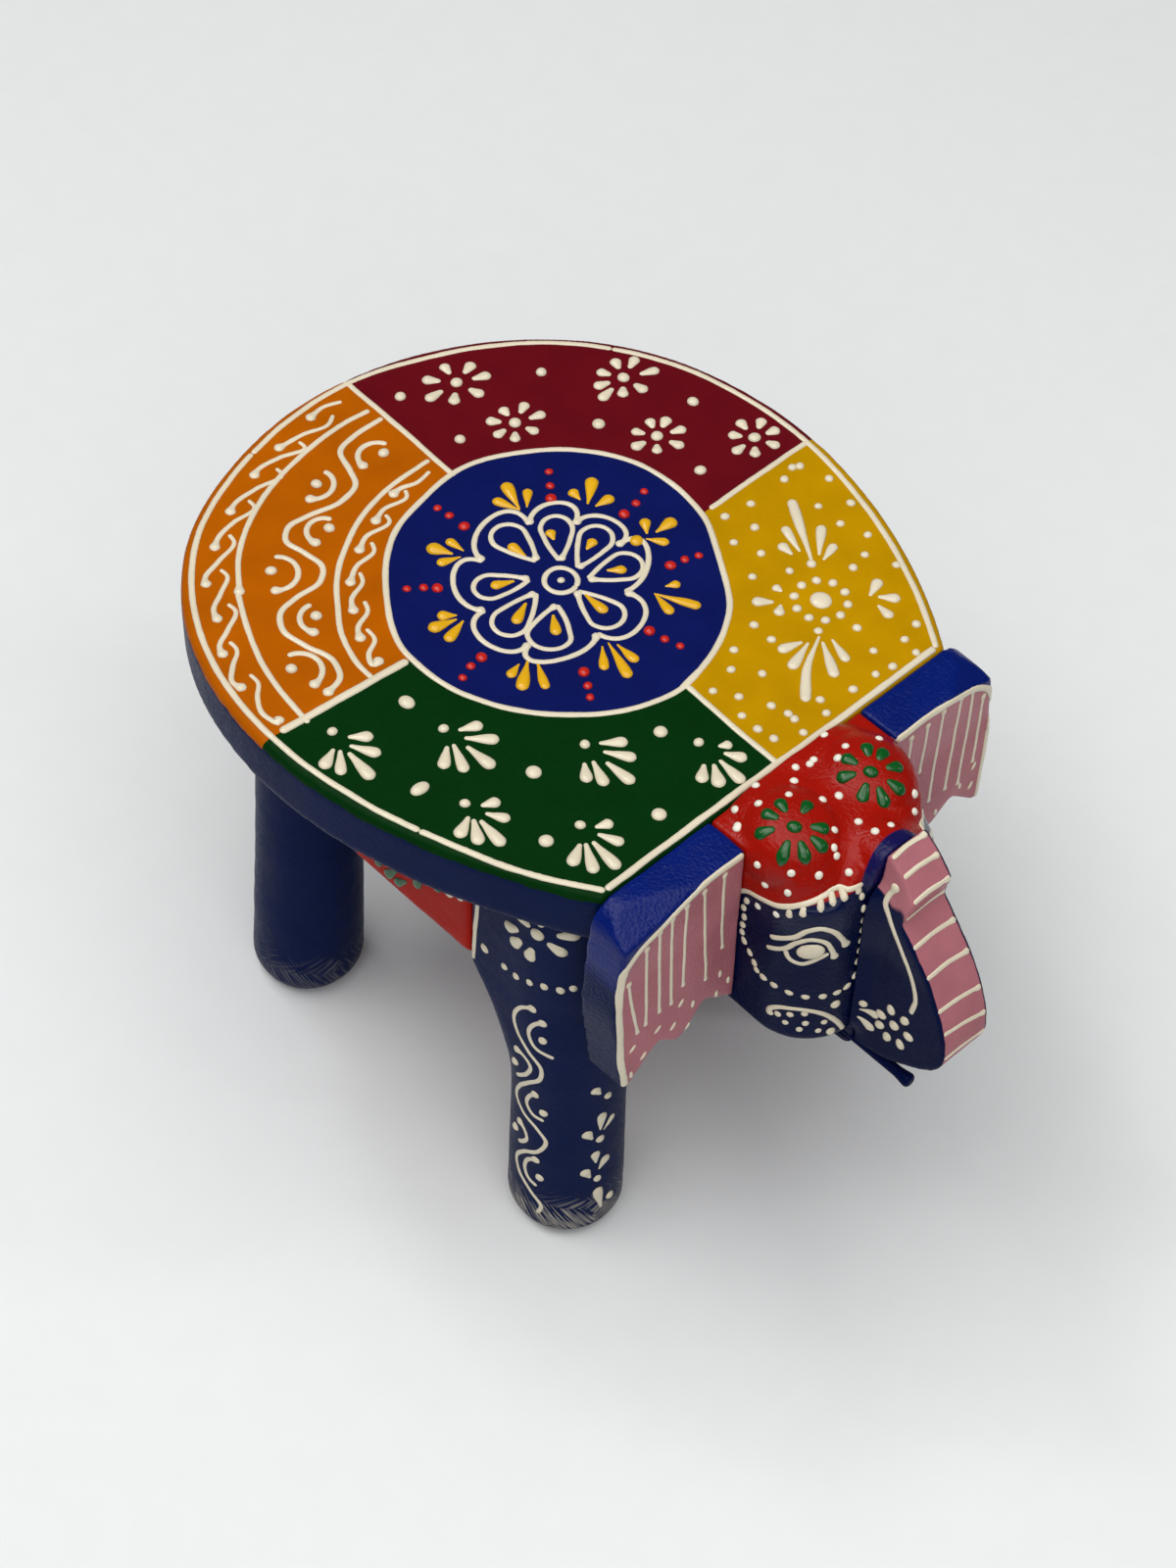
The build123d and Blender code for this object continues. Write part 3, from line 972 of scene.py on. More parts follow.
class Tools:
    """Geometry node trees that turn measured places into raised paint."""

    def __init__(self) -> None:
        """Build both trees."""
        self.line_tree = self.make_line_tree()
        self.bead_tree = self.make_bead_tree()

    def start(self, name: str) -> tuple[bpy.types.NodeTree, Graph, dict]:
        """Make an empty tree with the inputs that both trees have.

        Args:
            name: Tree name.

        Returns:
            The tree, its writer and the input sockets by name.
        """
        tree = bpy.data.node_groups.new(name, "GeometryNodeTree")
        tree.is_modifier = True
        tree.interface.new_socket(name="Places", in_out="INPUT", socket_type="NodeSocketGeometry")
        tree.interface.new_socket(name="Paint", in_out="INPUT", socket_type="NodeSocketMaterial")
        for label, value in (("Relief", 0.5), ("Unevenness", 0.1 * MM), ("Seed", 3.0)):
            socket = tree.interface.new_socket(name=label, in_out="INPUT",
                                               socket_type="NodeSocketFloat")
            socket.default_value = value
        tree.interface.new_socket(name="Paint body", in_out="OUTPUT",
                                  socket_type="NodeSocketGeometry")
        graph = Graph(tree)
        given = graph.add("NodeGroupInput").outputs
        return tree, graph, {socket.name: socket for socket in given}

    def finish(self, graph: Graph, given: dict, shape: bpy.types.NodeSocket) -> None:
        """Make the paint slightly uneven, realize it and give it its material.

        Args:
            graph: Tree writer.
            given: Input sockets by name.
            shape: Geometry socket.
        """
        real = graph.add("GeometryNodeRealizeInstances", {0: shape}).outputs[0]
        place = graph.add("GeometryNodeInputPosition").outputs[0]
        lumps = graph.add("ShaderNodeTexNoise", {"Vector": place, "W": given["Seed"],
                                                 "Scale": 520.0, "Detail": 1.0},
                          noise_dimensions="4D").outputs[1]
        centred = graph.add("ShaderNodeVectorMath", {0: lumps, 1: (0.5, 0.5, 0.5)},
                            operation="SUBTRACT").outputs[0]
        push = graph.add("ShaderNodeVectorMath", {0: centred, 3: given["Unevenness"]},
                         operation="SCALE").outputs[0]
        moved = graph.add("GeometryNodeSetPosition", {"Geometry": real, "Offset": push}).outputs[0]
        smooth = graph.add("GeometryNodeSetShadeSmooth", {0: moved}).outputs[0]
        painted = graph.add("GeometryNodeSetMaterial", {0: smooth, "Material": given["Paint"]})
        graph.add("NodeGroupOutput", {0: painted.outputs[0]})

    def attribute(self, graph: Graph, name: str, kind: str) -> bpy.types.NodeSocket:
        """Read a named attribute.

        Args:
            graph: Tree writer.
            name: Attribute name.
            kind: Attribute type.

        Returns:
            Its socket.
        """
        return graph.add("GeometryNodeInputNamedAttribute", {"Name": name},
                         data_type=kind).outputs[0]

    def make_line_tree(self) -> bpy.types.NodeTree:
        """Sweep a low oval along every line, as wide as the line's half width says.

        Returns:
            The tree.
        """
        tree, graph, given = self.start("raised_lines")
        half = self.attribute(graph, "half_width", "FLOAT")
        facing = self.attribute(graph, "facing", "FLOAT_VECTOR")
        curve = graph.add("GeometryNodeMeshToCurve", {"Mesh": given["Places"]}).outputs[0]
        turned = graph.add("GeometryNodeSetCurveNormal", {"Curve": curve, "Normal": facing},
                           mode="FREE").outputs[0]
        circle = graph.add("GeometryNodeCurvePrimitiveCircle", {"Resolution": 10, "Radius": 1.0},
                           mode="RADIUS").outputs[0]
        flat = graph.add("ShaderNodeCombineXYZ", {0: given["Relief"], 1: 1.0, 2: 1.0}).outputs[0]
        oval = graph.add("GeometryNodeTransform", {"Geometry": circle, "Scale": flat}).outputs[0]
        swept = graph.add("GeometryNodeCurveToMesh", {"Curve": turned, "Profile Curve": oval,
                                                      "Scale": half, "Fill Caps": True})
        self.finish(graph, given, swept.outputs[0])
        return tree

    def make_bead_tree(self) -> bpy.types.NodeTree:
        """Set a dome on every place, turned and sized by the place's attributes.

        Returns:
            The tree.
        """
        tree, graph, given = self.start("raised_dots")
        facing = self.attribute(graph, "facing", "FLOAT_VECTOR")
        along = self.attribute(graph, "along", "FLOAT_VECTOR")
        size = self.attribute(graph, "size", "FLOAT_VECTOR")
        up = graph.add("FunctionNodeAlignRotationToVector", {"Vector": facing}, axis="Z").outputs[0]
        turn = graph.add("FunctionNodeAlignRotationToVector", {"Rotation": up, "Vector": along},
                         axis="X", pivot_axis="Z").outputs[0]
        ball = graph.add("GeometryNodeMeshUVSphere", {"Segments": 16, "Rings": 8, "Radius": 1.0})
        set_out = graph.add("GeometryNodeInstanceOnPoints", {
            "Points": given["Places"], "Instance": ball.outputs[0], "Rotation": turn,
            "Scale": size})
        self.finish(graph, given, set_out.outputs[0])
        return tree


def through(points: Sequence[Pair], step: float = 0.3) -> list[Pair]:
    """Draw a smooth curve through points.

    Args:
        points: Places that the curve passes.
        step: Spacing of the result.

    Returns:
        Closely spaced places.
    """
    if len(points) < 3:
        (a, b), (c, d) = points[0], points[-1]
        count = max(2, int(math.dist(points[0], points[-1]) / step))
        return [(a + (c - a) * k / count, b + (d - b) * k / count) for k in range(count + 1)]
    places = [Vector(point) for point in points]
    spans = [max((b - a).length, 1e-6) for a, b in zip(places, places[1:])]
    slopes = [(b - a) / span for a, b, span in zip(places, places[1:], spans)]
    tangents = [slopes[0]]
    for i in range(1, len(places) - 1):
        before, after = spans[i - 1], spans[i]
        tangents.append((slopes[i - 1] * after + slopes[i] * before) / (before + after))
    tangents.append(slopes[-1])
    result = []
    for i, span in enumerate(spans):
        count = max(1, int(span / step))
        for k in range(count):
            t = k / count
            a, b = 2 * t ** 3 - 3 * t ** 2 + 1, t ** 3 - 2 * t ** 2 + t
            c, d = -2 * t ** 3 + 3 * t ** 2, t ** 3 - t ** 2
            spot = (places[i] * a + tangents[i] * b * span + places[i + 1] * c
                    + tangents[i + 1] * d * span)
            result.append((spot.x, spot.y))
    result.append(tuple(points[-1]))
    return result


def arc(centre: Pair, radius: float, start: float, end: float, count: int = 12) -> list[Pair]:
    """Places along an arc.

    Args:
        centre: Middle of the arc.
        radius: Radius.
        start: First angle in degrees.
        end: Last angle in degrees.
        count: Number of steps.

    Returns:
        The places.
    """
    angles = [math.radians(start + (end - start) * k / count) for k in range(count + 1)]
    return [(centre[0] + radius * math.cos(a), centre[1] + radius * math.sin(a)) for a in angles]


class Brush:
    """Lays raised paint of one piece: lines, drops and dots in several colours."""

    # Millimetres, but RELIEF is a line's height for each half width and DOT_HEIGHT a dot's for
    # each part of its size.
    STEP = 0.8
    SINK = 0.12
    RELIEF = 0.52
    UNEVENNESS = 0.16
    DOT_HEIGHT = 0.36
    DOT_TOP = 1.15

    def __init__(self, name: str, slot: str, tools: Tools, seed: int) -> None:
        """Start with no paint.

        Args:
            name: Start of the names of the paint objects.
            slot: Material slot of the piece; not used.
            tools: Geometry node trees.
            seed: Fixed seed of the hand's unevenness.
        """
        self.name, self.slot, self.tools = name, slot, tools
        self.random = random.Random(seed)
        self.seed = seed
        self.trails: dict[Pigment, list[Trail]] = {}
        self.beads: dict[Pigment, list[Bead]] = {}

    def line(self, patch: Patch, points: Sequence[Pair], width: float, head: float = 0.0,
             tail: float = 0.0, thin: float = 1.0, pigment: Pigment = Pigment.CREAM,
             lift: float = 0.0) -> None:
        """Lay one line with round ends.

        Args:
            patch: Surface to paint.
            points: Places of the line, in millimetres.
            width: Width of the line.
            head: Width of the blob at its last place, if any.
            tail: Width of the blob at its first place, if any.
            thin: Share of the width that is left at the first place.
            pigment: Colour.
            lift: Height above the surface, for paint on paint.
        """
        dense = through(points)
        along = [0.0]
        for a, b in zip(dense, dense[1:]):
            along.append(along[-1] + math.dist(a, b))
        total = along[-1]
        phase = self.random.uniform(0, 100)

        def half(s: float) -> float:
            """Half width at a distance along the line."""
            value = width / 2 * (thin + (1 - thin) * ease(s, 0, total * 0.8))
            value *= 1 + 0.09 * noise.noise(Vector((s * 0.22, phase, 0.0)))
            for blob, distance in ((head, total - s), (tail, s)):
                if blob > width:
                    value += (blob - width) / 2 * (1 - ease(distance, blob * 0.35, blob * 1.15))
            return value

        ends = (half(0.0), half(total))
        steps = max(3, round(total / self.STEP))
        stops = [total * k / steps for k in range(steps + 1)]
        for share in (0.02, 0.10, 0.26, 0.5, 0.78):
            stops += [ends[0] * share, total - ends[1] * share]
        stops = sorted(s for s in set(stops) if 0 <= s <= total)
        kept = [stops[0]]
        for s in stops[1:]:
            if s - kept[-1] > 0.012:
                kept.append(s)
        places, facings, halves = [], [], []
        index = 0
        for s in kept:
            while index < len(along) - 2 and along[index + 1] < s:
                index += 1
            share = (s - along[index]) / max(along[index + 1] - along[index], 1e-9)
            u = dense[index][0] + (dense[index + 1][0] - dense[index][0]) * share
            v = dense[index][1] + (dense[index + 1][1] - dense[index][1]) * share
            shake = min(1.0, total / 12) * 0.16
            u += shake * noise.noise(Vector((s * 0.11, phase, 5.0)))
            v += shake * noise.noise(Vector((s * 0.11, phase, 9.0)))
            point, facing = patch.place(u, v)
            value = half(s)
            for distance, end in ((s, ends[0]), (total - s, ends[1])):
                if distance < end:
                    value *= max(math.sqrt(max(1 - (1 - distance / end) ** 2, 0)), 0.16)
            places.append(point + facing * (lift - self.SINK) * MM)
            facings.append(facing)
            halves.append(value * MM)
        self.trails.setdefault(pigment, []).append(Trail(places, facings, halves))

    def drop(self, patch: Patch, tail: Pair, head: Pair, width: float,
             pigment: Pigment = Pigment.CREAM, bend: float = 0.0, thin: float = 0.3,
             lift: float = 0.0) -> None:
        """Lay one drop that starts thin and ends fat and round.

        Args:
            patch: Surface to paint.
            tail: Thin end.
            head: Middle of the round end's edge.
            width: Width of the fat end.
            pigment: Colour.
            bend: Sideways bow of the drop, as a share of its length.
            thin: Share of the width at the thin end.
            lift: Height above the surface.
        """
        middle = ((tail[0] + head[0]) / 2 - (head[1] - tail[1]) * bend,
                  (tail[1] + head[1]) / 2 + (head[0] - tail[0]) * bend)
        path = [tail, middle, head] if bend else [tail, head]
        self.line(patch, path, width, thin=thin, pigment=pigment, lift=lift)

    def dot(self, patch: Patch, place: Pair, size: float, across: float = 0.0,
            angle: float | None = None, pigment: Pigment = Pigment.CREAM,
            lift: float = 0.0) -> None:
        """Set one dot.

        Args:
            patch: Surface to paint.
            place: Middle of the dot.
            size: Length of the dot, in millimetres.
            across: Width of the dot; as long as it is where left out.
            angle: Way of the long axis in the pattern, in degrees; free where left out.
            pigment: Colour.
            lift: Height above the surface.
        """
        point, facing = patch.place(*place)
        if angle is None:
            angle = self.random.uniform(0, 180)
            size, across = size * 1.04, (across or size) * 0.97
        step = 0.4
        beside, _ = patch.place(place[0] + step * math.cos(math.radians(angle)),
                                place[1] + step * math.sin(math.radians(angle)))
        along = beside - point
        along = (along - facing * along.dot(facing)).normalized()
        height = min(self.DOT_HEIGHT * min(size, across or size), self.DOT_TOP)
        scale = Vector((size / 2, (across or size) / 2, height)) * MM
        self.beads.setdefault(pigment, []).append(
            Bead(point + facing * (lift - self.SINK) * MM, facing, along, scale))

    def dots(self, patch: Patch, places: Iterable[Pair], size: float,
             pigment: Pigment = Pigment.CREAM) -> None:
        """Set several dots of about one size.

        Args:
            patch: Surface to paint.
            places: Middles of the dots.
            size: Size of the dots.
            pigment: Colour.
        """
        for place in places:
            self.dot(patch, place, size * self.random.uniform(0.93, 1.08), pigment=pigment)

    def chain(self, patch: Patch, places: Sequence[Pair], size: float,
              across: float, pigment: Pigment = Pigment.CREAM) -> None:
        """Set a row of short dashes that follow each other.

        Args:
            patch: Surface to paint.
            places: Middles of the dashes.
            size: Length of a dash.
            across: Width of a dash.
            pigment: Colour.
        """
        for index, place in enumerate(places):
            before = places[max(index - 1, 0)]
            after = places[min(index + 1, len(places) - 1)]
            angle = math.degrees(math.atan2(after[1] - before[1], after[0] - before[0]))
            grow = self.random.uniform(0.9, 1.1)
            self.dot(patch, place, size * grow, across * self.random.uniform(0.93, 1.07),
                     angle + self.random.uniform(-8, 8), pigment)

    def build(self, paints: dict[Pigment, bpy.types.Material]) -> None:
        """Turn all that was laid into pieces.

        Args:
            paints: Material of each colour.
        """
        for pigment, trails in self.trails.items():
            places = [point for trail in trails for point in trail.points]
            edges, start = [], 0
            for trail in trails:
                edges += [(start + k, start + k + 1) for k in range(len(trail.points) - 1)]
                start += len(trail.points)
            mesh = self.mesh(f"{self.name}_lines_{pigment.name.lower()}", places, edges)
            self.fill(mesh, "facing", "FLOAT_VECTOR", [f for t in trails for f in t.facings])
            self.fill(mesh, "half_width", "FLOAT", [h for t in trails for h in t.halves])
            self.cast(mesh, self.tools.line_tree, paints[pigment])
        for pigment, beads in self.beads.items():
            mesh = self.mesh(f"{self.name}_dots_{pigment.name.lower()}",
                             [bead.point for bead in beads], [])
            for label in ("facing", "along", "size"):
                self.fill(mesh, label, "FLOAT_VECTOR", [getattr(bead, label) for bead in beads])
            self.cast(mesh, self.tools.bead_tree, paints[pigment])

    def mesh(self, name: str, places: list[Vector], edges: list) -> bpy.types.Mesh:
        """Make the mesh of places that a tree reads.

        Args:
            name: Mesh name.
            places: Points in metres.
            edges: Pairs of point numbers.

        Returns:
            The mesh.
        """
        mesh = bpy.data.meshes.new(name)
        mesh.from_pydata([tuple(place) for place in places], edges, [])
        return mesh

    def fill(self, mesh: bpy.types.Mesh, label: str, kind: str, values: list) -> None:
        """Write one attribute.

        Args:
            mesh: Mesh to write into.
            label: Attribute name.
            kind: Attribute type.
            values: A value or a vector for each point.
        """
        attribute = mesh.attributes.new(label, kind, "POINT")
        if kind == "FLOAT":
            attribute.data.foreach_set("value", values)
        else:
            attribute.data.foreach_set("vector", [number for value in values for number in value])

    def cast(self, mesh: bpy.types.Mesh, tree: bpy.types.NodeTree,
             paint: bpy.types.Material) -> None:
        """Run a tree on a mesh and keep the result as a piece.

        Args:
            mesh: Places.
            tree: Geometry node tree.
            paint: Material.
        """
        piece = bpy.data.objects.new(mesh.name, mesh)
        bpy.context.scene.collection.objects.link(piece)
        modifier = piece.modifiers.new("paint", "NODES")
        modifier.node_group = tree
        keys = {item.name: item.identifier for item in tree.interface.items_tree
                if item.in_out == "INPUT"}
        for label, value in (("Paint", paint), ("Relief", self.RELIEF),
                             ("Unevenness", self.UNEVENNESS * MM), ("Seed", float(self.seed))):
            modifier[keys[label]] = value
        Workshop.bake(piece)
        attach(piece, BODY)
        log.info("%s: %d faces", piece.name, len(piece.data.polygons))


class Painting:
    """Raised paint of one part of the stool, laid with one brush."""

    brush: Brush

    def paint(self) -> None:
        """Lay the paint."""
        raise NotImplementedError

    def build(self, paints: dict[Pigment, bpy.types.Material]) -> None:
        """Lay the paint and turn it into pieces.

        Args:
            paints: Material of each colour.
        """
        self.paint()
        self.brush.build(paints)


class SeatPainting(Painting):
    """Raised pattern of the seat: medallion, four quarters, seams and border."""

    PETALS = (
        ((4.7, 1.2), (21.5, 1.5), 10.5), ((3.2, 6.5), (7.5, 22.3), 10.0),
        ((-1.8, 7.0), (-9.0, 23.0), 9.5), ((-7.0, 5.0), (-21.0, 15.5), 9.0),
        ((-11.0, 0.0), (-28.0, 0.0), 10.0), ((-7.0, -6.0), (-14.0, -20.5), 9.0),
        ((-2.0, -8.0), (3.0, -25.5), 10.0), ((5.0, -6.5), (15.5, -19.5), 12.0),
    )
    HEARTS = (
        ((7, 2), (16, 2)), ((4, 12.5), (7.5, 17)), ((-5.5, 13.5), (-7, 18)),
        ((-14, 9), (-18, 10.5)), ((-14, -1.3), (-21, -1.7)), ((-9.3, -9.5), (-12, -16)),
        ((-1, -12.5), (3, -20)), ((7, -9.7), (13.5, -14)),
    )
    CUSPS = ((13.5, 11), (-1, 21), (-15, 17.5), (-23, 7.5), (-20.5, -11.5), (-6, -23),
             (11, -21.5), (20, -5))
    CROWNS = ((6.5, 26.0), (-9.0, 27.0), (-24.5, 19.5), (-32.0, 0.0), (-20.5, -22.5),
              (3.0, -30.7), (20.0, -21.0), (25.5, 6.5))
    TRIPLETS = (
        ((-37.9, 42.7), (-36.1, 37.7), (-35.3, 32.3)),
        ((-9.7, 36.6), (-11.3, 32.7), (-12.3, 28.1)),
        ((11.1, 8.9), (6.4, 7.6), (1.4, 6.6)), ((8.0, -22.1), (4.6, -19.7), (0.3, -17.1)),
        ((-20.3, -42.7), (-21.9, -38.3), (-22.3, -34.0)),
        ((-54.9, -32.1), (-52.1, -28.4), (-49.4, -25.7)),
        ((-72.3, -5.1), (-67.9, -4.6), (-62.0, -4.3)),
        ((-61.7, 28.0), (-57.4, 24.4), (-53.7, 21.3)),
    )
    SPRIGS = (
        ((2, 32.8), (1.8, 40.5), 4.3), ((1, 30.5), (-4, 34), 3.6), ((2, 29), (7.5, 33), 3.2),
        ((19, 21), (21, 25), 3.2), ((19.5, 17), (31, 23.5), 3.5), ((19, 17), (28, 15.5), 3.2),
        ((26.5, -3.5), (35, -3.5), 3.2), ((24.5, -5), (38, -9), 3.4),
        ((24.5, -7), (31.5, -12.5), 3.0), ((16.5, -24), (26.5, -29), 2.8),
        ((15.5, -26), (22.5, -34.5), 4.0), ((14.8, -28.5), (16.8, -34), 3.2),
        ((-7, -30), (-4, -38.5), 3.8), ((-8.5, -31), (-10.5, -39.5), 4.0),
        ((-9.5, -30), (-13, -34.5), 3.8), ((-25.8, -15), (-28, -22), 3.2),
        ((-28, -16), (-35, -20), 4.8), ((-27, -13), (-33.5, -13.8), 3.2),
        ((-29, 9.5), (-37, 6), 3.4), ((-29.5, 9.5), (-40, 13), 4.0),
        ((-28.5, 11.5), (-34, 16.5), 3.2), ((-16.5, 26.5), (-16, 33), 4.0),
        ((-18.5, 25.5), (-25.5, 33.5), 4.0), ((-21, 25), (-26, 25.5), 3.6),
    )
    FLORETS = (
        ((-80.0, 28.7), ((-2.6, 7.1), (2.9, 7.6), (7.1, 1.9), (5.0, -5.0), (0.0, -8.9),
                         (-5.7, -5.4), (-6.7, 1.4))),
        ((-56.5, 31.0), ((-3.3, 6.1), (2.1, 7.1), (5.7, 1.9), (4.6, -3.9), (0.4, -6.4),
                         (-4.7, -4.6), (-5.7, 0.7))),
        ((-50.5, 67.5), ((-3.1, 6.7), (3.3, 7.9), (6.7, 1.0), (4.6, -4.3), (2.1, -8.9),
                         (-1.9, -7.1), (-5.4, -3.3), (-6.0, 2.4))),
        ((-26.2, 58.8), ((-2.9, 5.9), (2.3, 6.6), (6.3, 2.3), (4.1, -3.7), (-0.6, -6.9),
                         (-4.9, -3.3), (-5.4, 2.3))),
        ((-7.8, 80.0), ((-3.3, 5.6), (1.6, 6.1), (5.7, 2.3), (4.6, -4.1), (0.6, -7.0),
                        (-4.4, -3.9), (-6.4, 0.9))),
    )
    MAROON_DOTS = (((-86, 12.5), 3.5), ((-61.5, 14.5), 3.4), ((-67.5, 50.5), 3.4),
                   ((-40.7, 49.2), 4.0), ((-30, 76.3), 3.6), ((-8, 59), 3.6))
    OUTER_ARC = ((-114.9, 6.7), (-115.6, -2.6), (-114.1, -18.3), (-110.6, -32.6),
                 (-104.9, -45.4), (-96.3, -57.6), (-83.9, -67.9))
    OUTER_ARC_END = ((-84.9, -67.6), (-73.4, -74.0), (-62.0, -79.0), (-50.6, -81.9), (-36.0, -84.0))
    INNER_ARC = ((-88.1, 6.0), (-87.7, -6.9), (-84.9, -21.1), (-79.1, -32.6), (-70.6, -44.0),
                 (-62.0, -51.1), (-53.4, -56.9), (-44.9, -60.0), (-35.0, -61.0))
    OUTER_SCROLLS = (
        ((-122.7, 3.1), (-124.6, -2.6), (-123.4, -9.3)),
        ((-120.3, -2.3), (-118.4, -5.4), (-119.9, -14.0), (-120.6, -24.0)),
        ((-118.7, -16.9), (-116.0, -16.9), (-117.4, -25.4), (-117.7, -32.6), (-116.0, -36.1)),
        ((-114.9, -28.6), (-112.3, -28.6), (-112.3, -38.3), (-111.6, -46.9), (-109.4, -50.4)),
        ((-110.3, -42.6), (-107.4, -42.9), (-106.3, -51.1), (-104.6, -58.3), (-101.7, -62.3)),
        ((-103.7, -55.1), (-100.9, -55.7), (-97.7, -64.0), (-94.9, -71.1), (-92.0, -72.6)),
        ((-95.1, -65.4), (-92.3, -65.4), (-88.0, -71.1), (-84.1, -76.9), (-79.9, -78.3)),
        ((-83.7, -72.3), (-80.6, -72.3), (-76.3, -78.3), (-72.7, -84.3), (-68.9, -85.4)),
        ((-72.7, -80.9), (-69.4, -81.1), (-64.9, -86.1), (-60.6, -89.7), (-56.3, -88.7)),
        ((-59.9, -84.4), (-56.3, -84.7), (-52.0, -88.3), (-46.3, -90.9), (-41.7, -89.7),
         (-43.1, -88.3)),
    )
    INNER_SCROLLS = (
        ((-84.6, 3.1), (-83.7, -2.6), (-85.1, -8.3), (-84.4, -12.1)),
        ((-83.7, -7.1), (-81.7, -8.3), (-82.0, -16.9), (-79.6, -22.6)),
        ((-80.3, -17.6), (-77.7, -18.3), (-77.4, -27.6), (-74.1, -33.3)),
        ((-74.9, -27.6), (-72.0, -29.0), (-70.6, -36.9), (-66.3, -43.3)),
        ((-68.4, -37.6), (-65.6, -39.0), (-62.0, -46.1), (-57.4, -49.0)),
        ((-59.4, -43.7), (-56.3, -45.1), (-52.7, -51.9), (-48.4, -54.3)),
        ((-51.3, -50.1), (-47.0, -50.9), (-43.4, -56.1), (-39.9, -57.6), (-40.3, -54.0)),
    )
    WAVE = ((-82.5, 3), (-82.5, 0), (-82, -8), (-80, -14.5), (-72, -17.5), (-66.5, -20),
            (-64, -27), (-65.5, -38), (-65.5, -45), (-62, -48.5), (-55, -47.5), (-47.5, -47),
            (-43.5, -51), (-43, -60), (-41, -67), (-36, -70), (-28, -69), (-18, -66.5),
            (-12.5, -69), (-10, -76))
    CURLS = (
        ((-71.5, -8), 5.5, 110, 290, (-71.2, -5.8)), ((-74.5, -29), 6, 110, -60, (-73.8, -28.2)),
        ((-58, -38), 5, 115, 310, (-58, -36.2)), ((-54, -58.5), 6.5, 145, -50, (-55.5, -58.8)),
        ((-33, -59.5), 5.5, 165, 320, (-34.2, -59.8)), ((-21.5, -76), 6.5, 170, -10, (-23.3, -77)),
    )
    YELLOW_DROPS = (
        ((39, 58.5), (17, 71), 3.2), ((38, 62), (30, 70.5), 3.2), ((40, 61.5), (37.7, 68.5), 3.0),
        ((33.5, 58.8), (23.5, 62), 3.0), ((33, 56.5), (27.5, 56.5), 3.6),
        ((58.3, 62), (55.5, 68.5), 3.6), ((59.8, 63.5), (64.5, 67.8), 3.8),
        ((62, 61.3), (68, 61), 3.4), ((41.5, 44.5), (38.2, 44), 3.2),
        ((42.8, 40.2), (38.7, 35.5), 4.0), ((44.6, 41), (47.3, 37.5), 3.4),
        ((62, 40.2), (73.8, 33.8), 3.4), ((63, 42.8), (71.8, 40.3), 3.0),
        ((59.8, 37), (63.7, 26.5), 3.4), ((58.6, 36), (56.8, 28.5), 3.6),
    )
    YELLOW_DOTS = (
        (9, 82), (8, 80), (10, 75), (11, 61), (10, 52), (18, 85), (29, 83), (24, 75), (33, 75),
        (41, 78), (46, 72), (47.5, 66), (54.5, 76), (18.5, 55.5), (19, 47), (27, 50), (37, 51.5),
        (32, 42), (45.5, 30), (52.5, 30), (48.7, 19.5), (60, 19.5), (53.5, 14), (62, 9), (56, 5),
        (67.5, 5), (73.7, 5), (79, 6), (70, 13.5), (75, 15), (77.5, 15), (82.5, 13.5), (77, 25),
        (81.5, 23), (80, 34.5), (80, 43), (81, 48.5), (73.5, 48.5), (76, 58), (81.5, 57),
        (74, 64.5), (64.5, 51),
    )
    PALMETTES = (
        ((67.0, -10.3), (((4.3, 3.0), (5.4, 5.0)), ((6.9, 2.6), (11.1, 5.1)),
                         ((8.0, 0.1), (16.3, -0.3)), ((8.0, -2.0), (13.7, -5.3)),
                         ((6.4, -3.9), (9.7, -7.7)))),
        ((48.0, -34.0), (((2.0, 3.1), (5.6, 8.1)), ((4.9, 2.0), (11.0, 6.4)),
                         ((8.1, 0.3), (16.7, 0.9)), ((5.6, -2.1), (12.7, -4.7)),
                         ((4.6, -4.3), (8.9, -7.3)))),
        ((68.0, -53.2), (((3.0, 2.4), (4.3, 5.6)), ((5.1, 1.4), (10.4, 3.9)),
                         ((6.1, -1.1), (15.7, -1.9)), ((5.4, -2.9), (13.0, -6.9)),
                         ((4.7, -4.0), (7.9, -9.3)))),
        ((19.5, -59.2), (((2.9, 2.6), (5.0, 7.4)), ((6.0, 2.1), (11.4, 7.6)),
                         ((8.6, 0.7), (17.4, 1.4)), ((5.7, -1.4), (13.9, -4.7)),
                         ((5.3, -3.1), (9.6, -7.9)))),
        ((43.0, -71.5), (((3.3, 2.6), (4.7, 6.1)), ((5.9, 1.9), (10.4, 4.7)),
                         ((6.9, -0.6), (15.7, -1.3)), ((5.4, -1.7), (11.6, -5.3)),
                         ((4.0, -2.0), (6.9, -7.4)))),
        ((1.2, -82.5), (((4.1, 1.9), (7.3, 5.9)), ((6.7, 0.4), (13.0, 4.0)),
                        ((8.4, -1.4), (18.1, -2.0)), ((6.3, -2.4), (12.0, -6.7)),
                        ((4.9, -3.4), (7.7, -8.6)))),
    )
    GREEN_DOTS = (((57.7, -15.6), 4.0, 4.0), ((78.6, -35), 4.3, 4.3), ((46.5, -50.7), 4.6, 4.4),
                  ((66.3, -63.5), 4.2, 4.2), ((6, -60.8), 5.2, 4.2), ((31.5, -77.3), 4.0, 6.0))
    LINE = 1.9
    BORDER_CENTRE = (-37.5, 0.0)
    BORDER = ((326, 115.9), (316, 108.9), (304, 101.6), (290, 96.8), (276, 94.8), (262, 94.4),
              (248, 94.8), (232, 95.1), (220, 94.5), (208, 92.5), (196, 91.0), (184, 90.4),
              (172, 90.2), (160, 89.1), (148, 89.4), (136, 90.4), (112, 91.1), (88, 91.9),
              (76, 93.4), (64, 96.0), (52, 100.7), (40, 107.7), (32.2, 113.5))
    BORDER_BREAKS = (0.0, 0.11, 0.44, 0.68, 1.0)

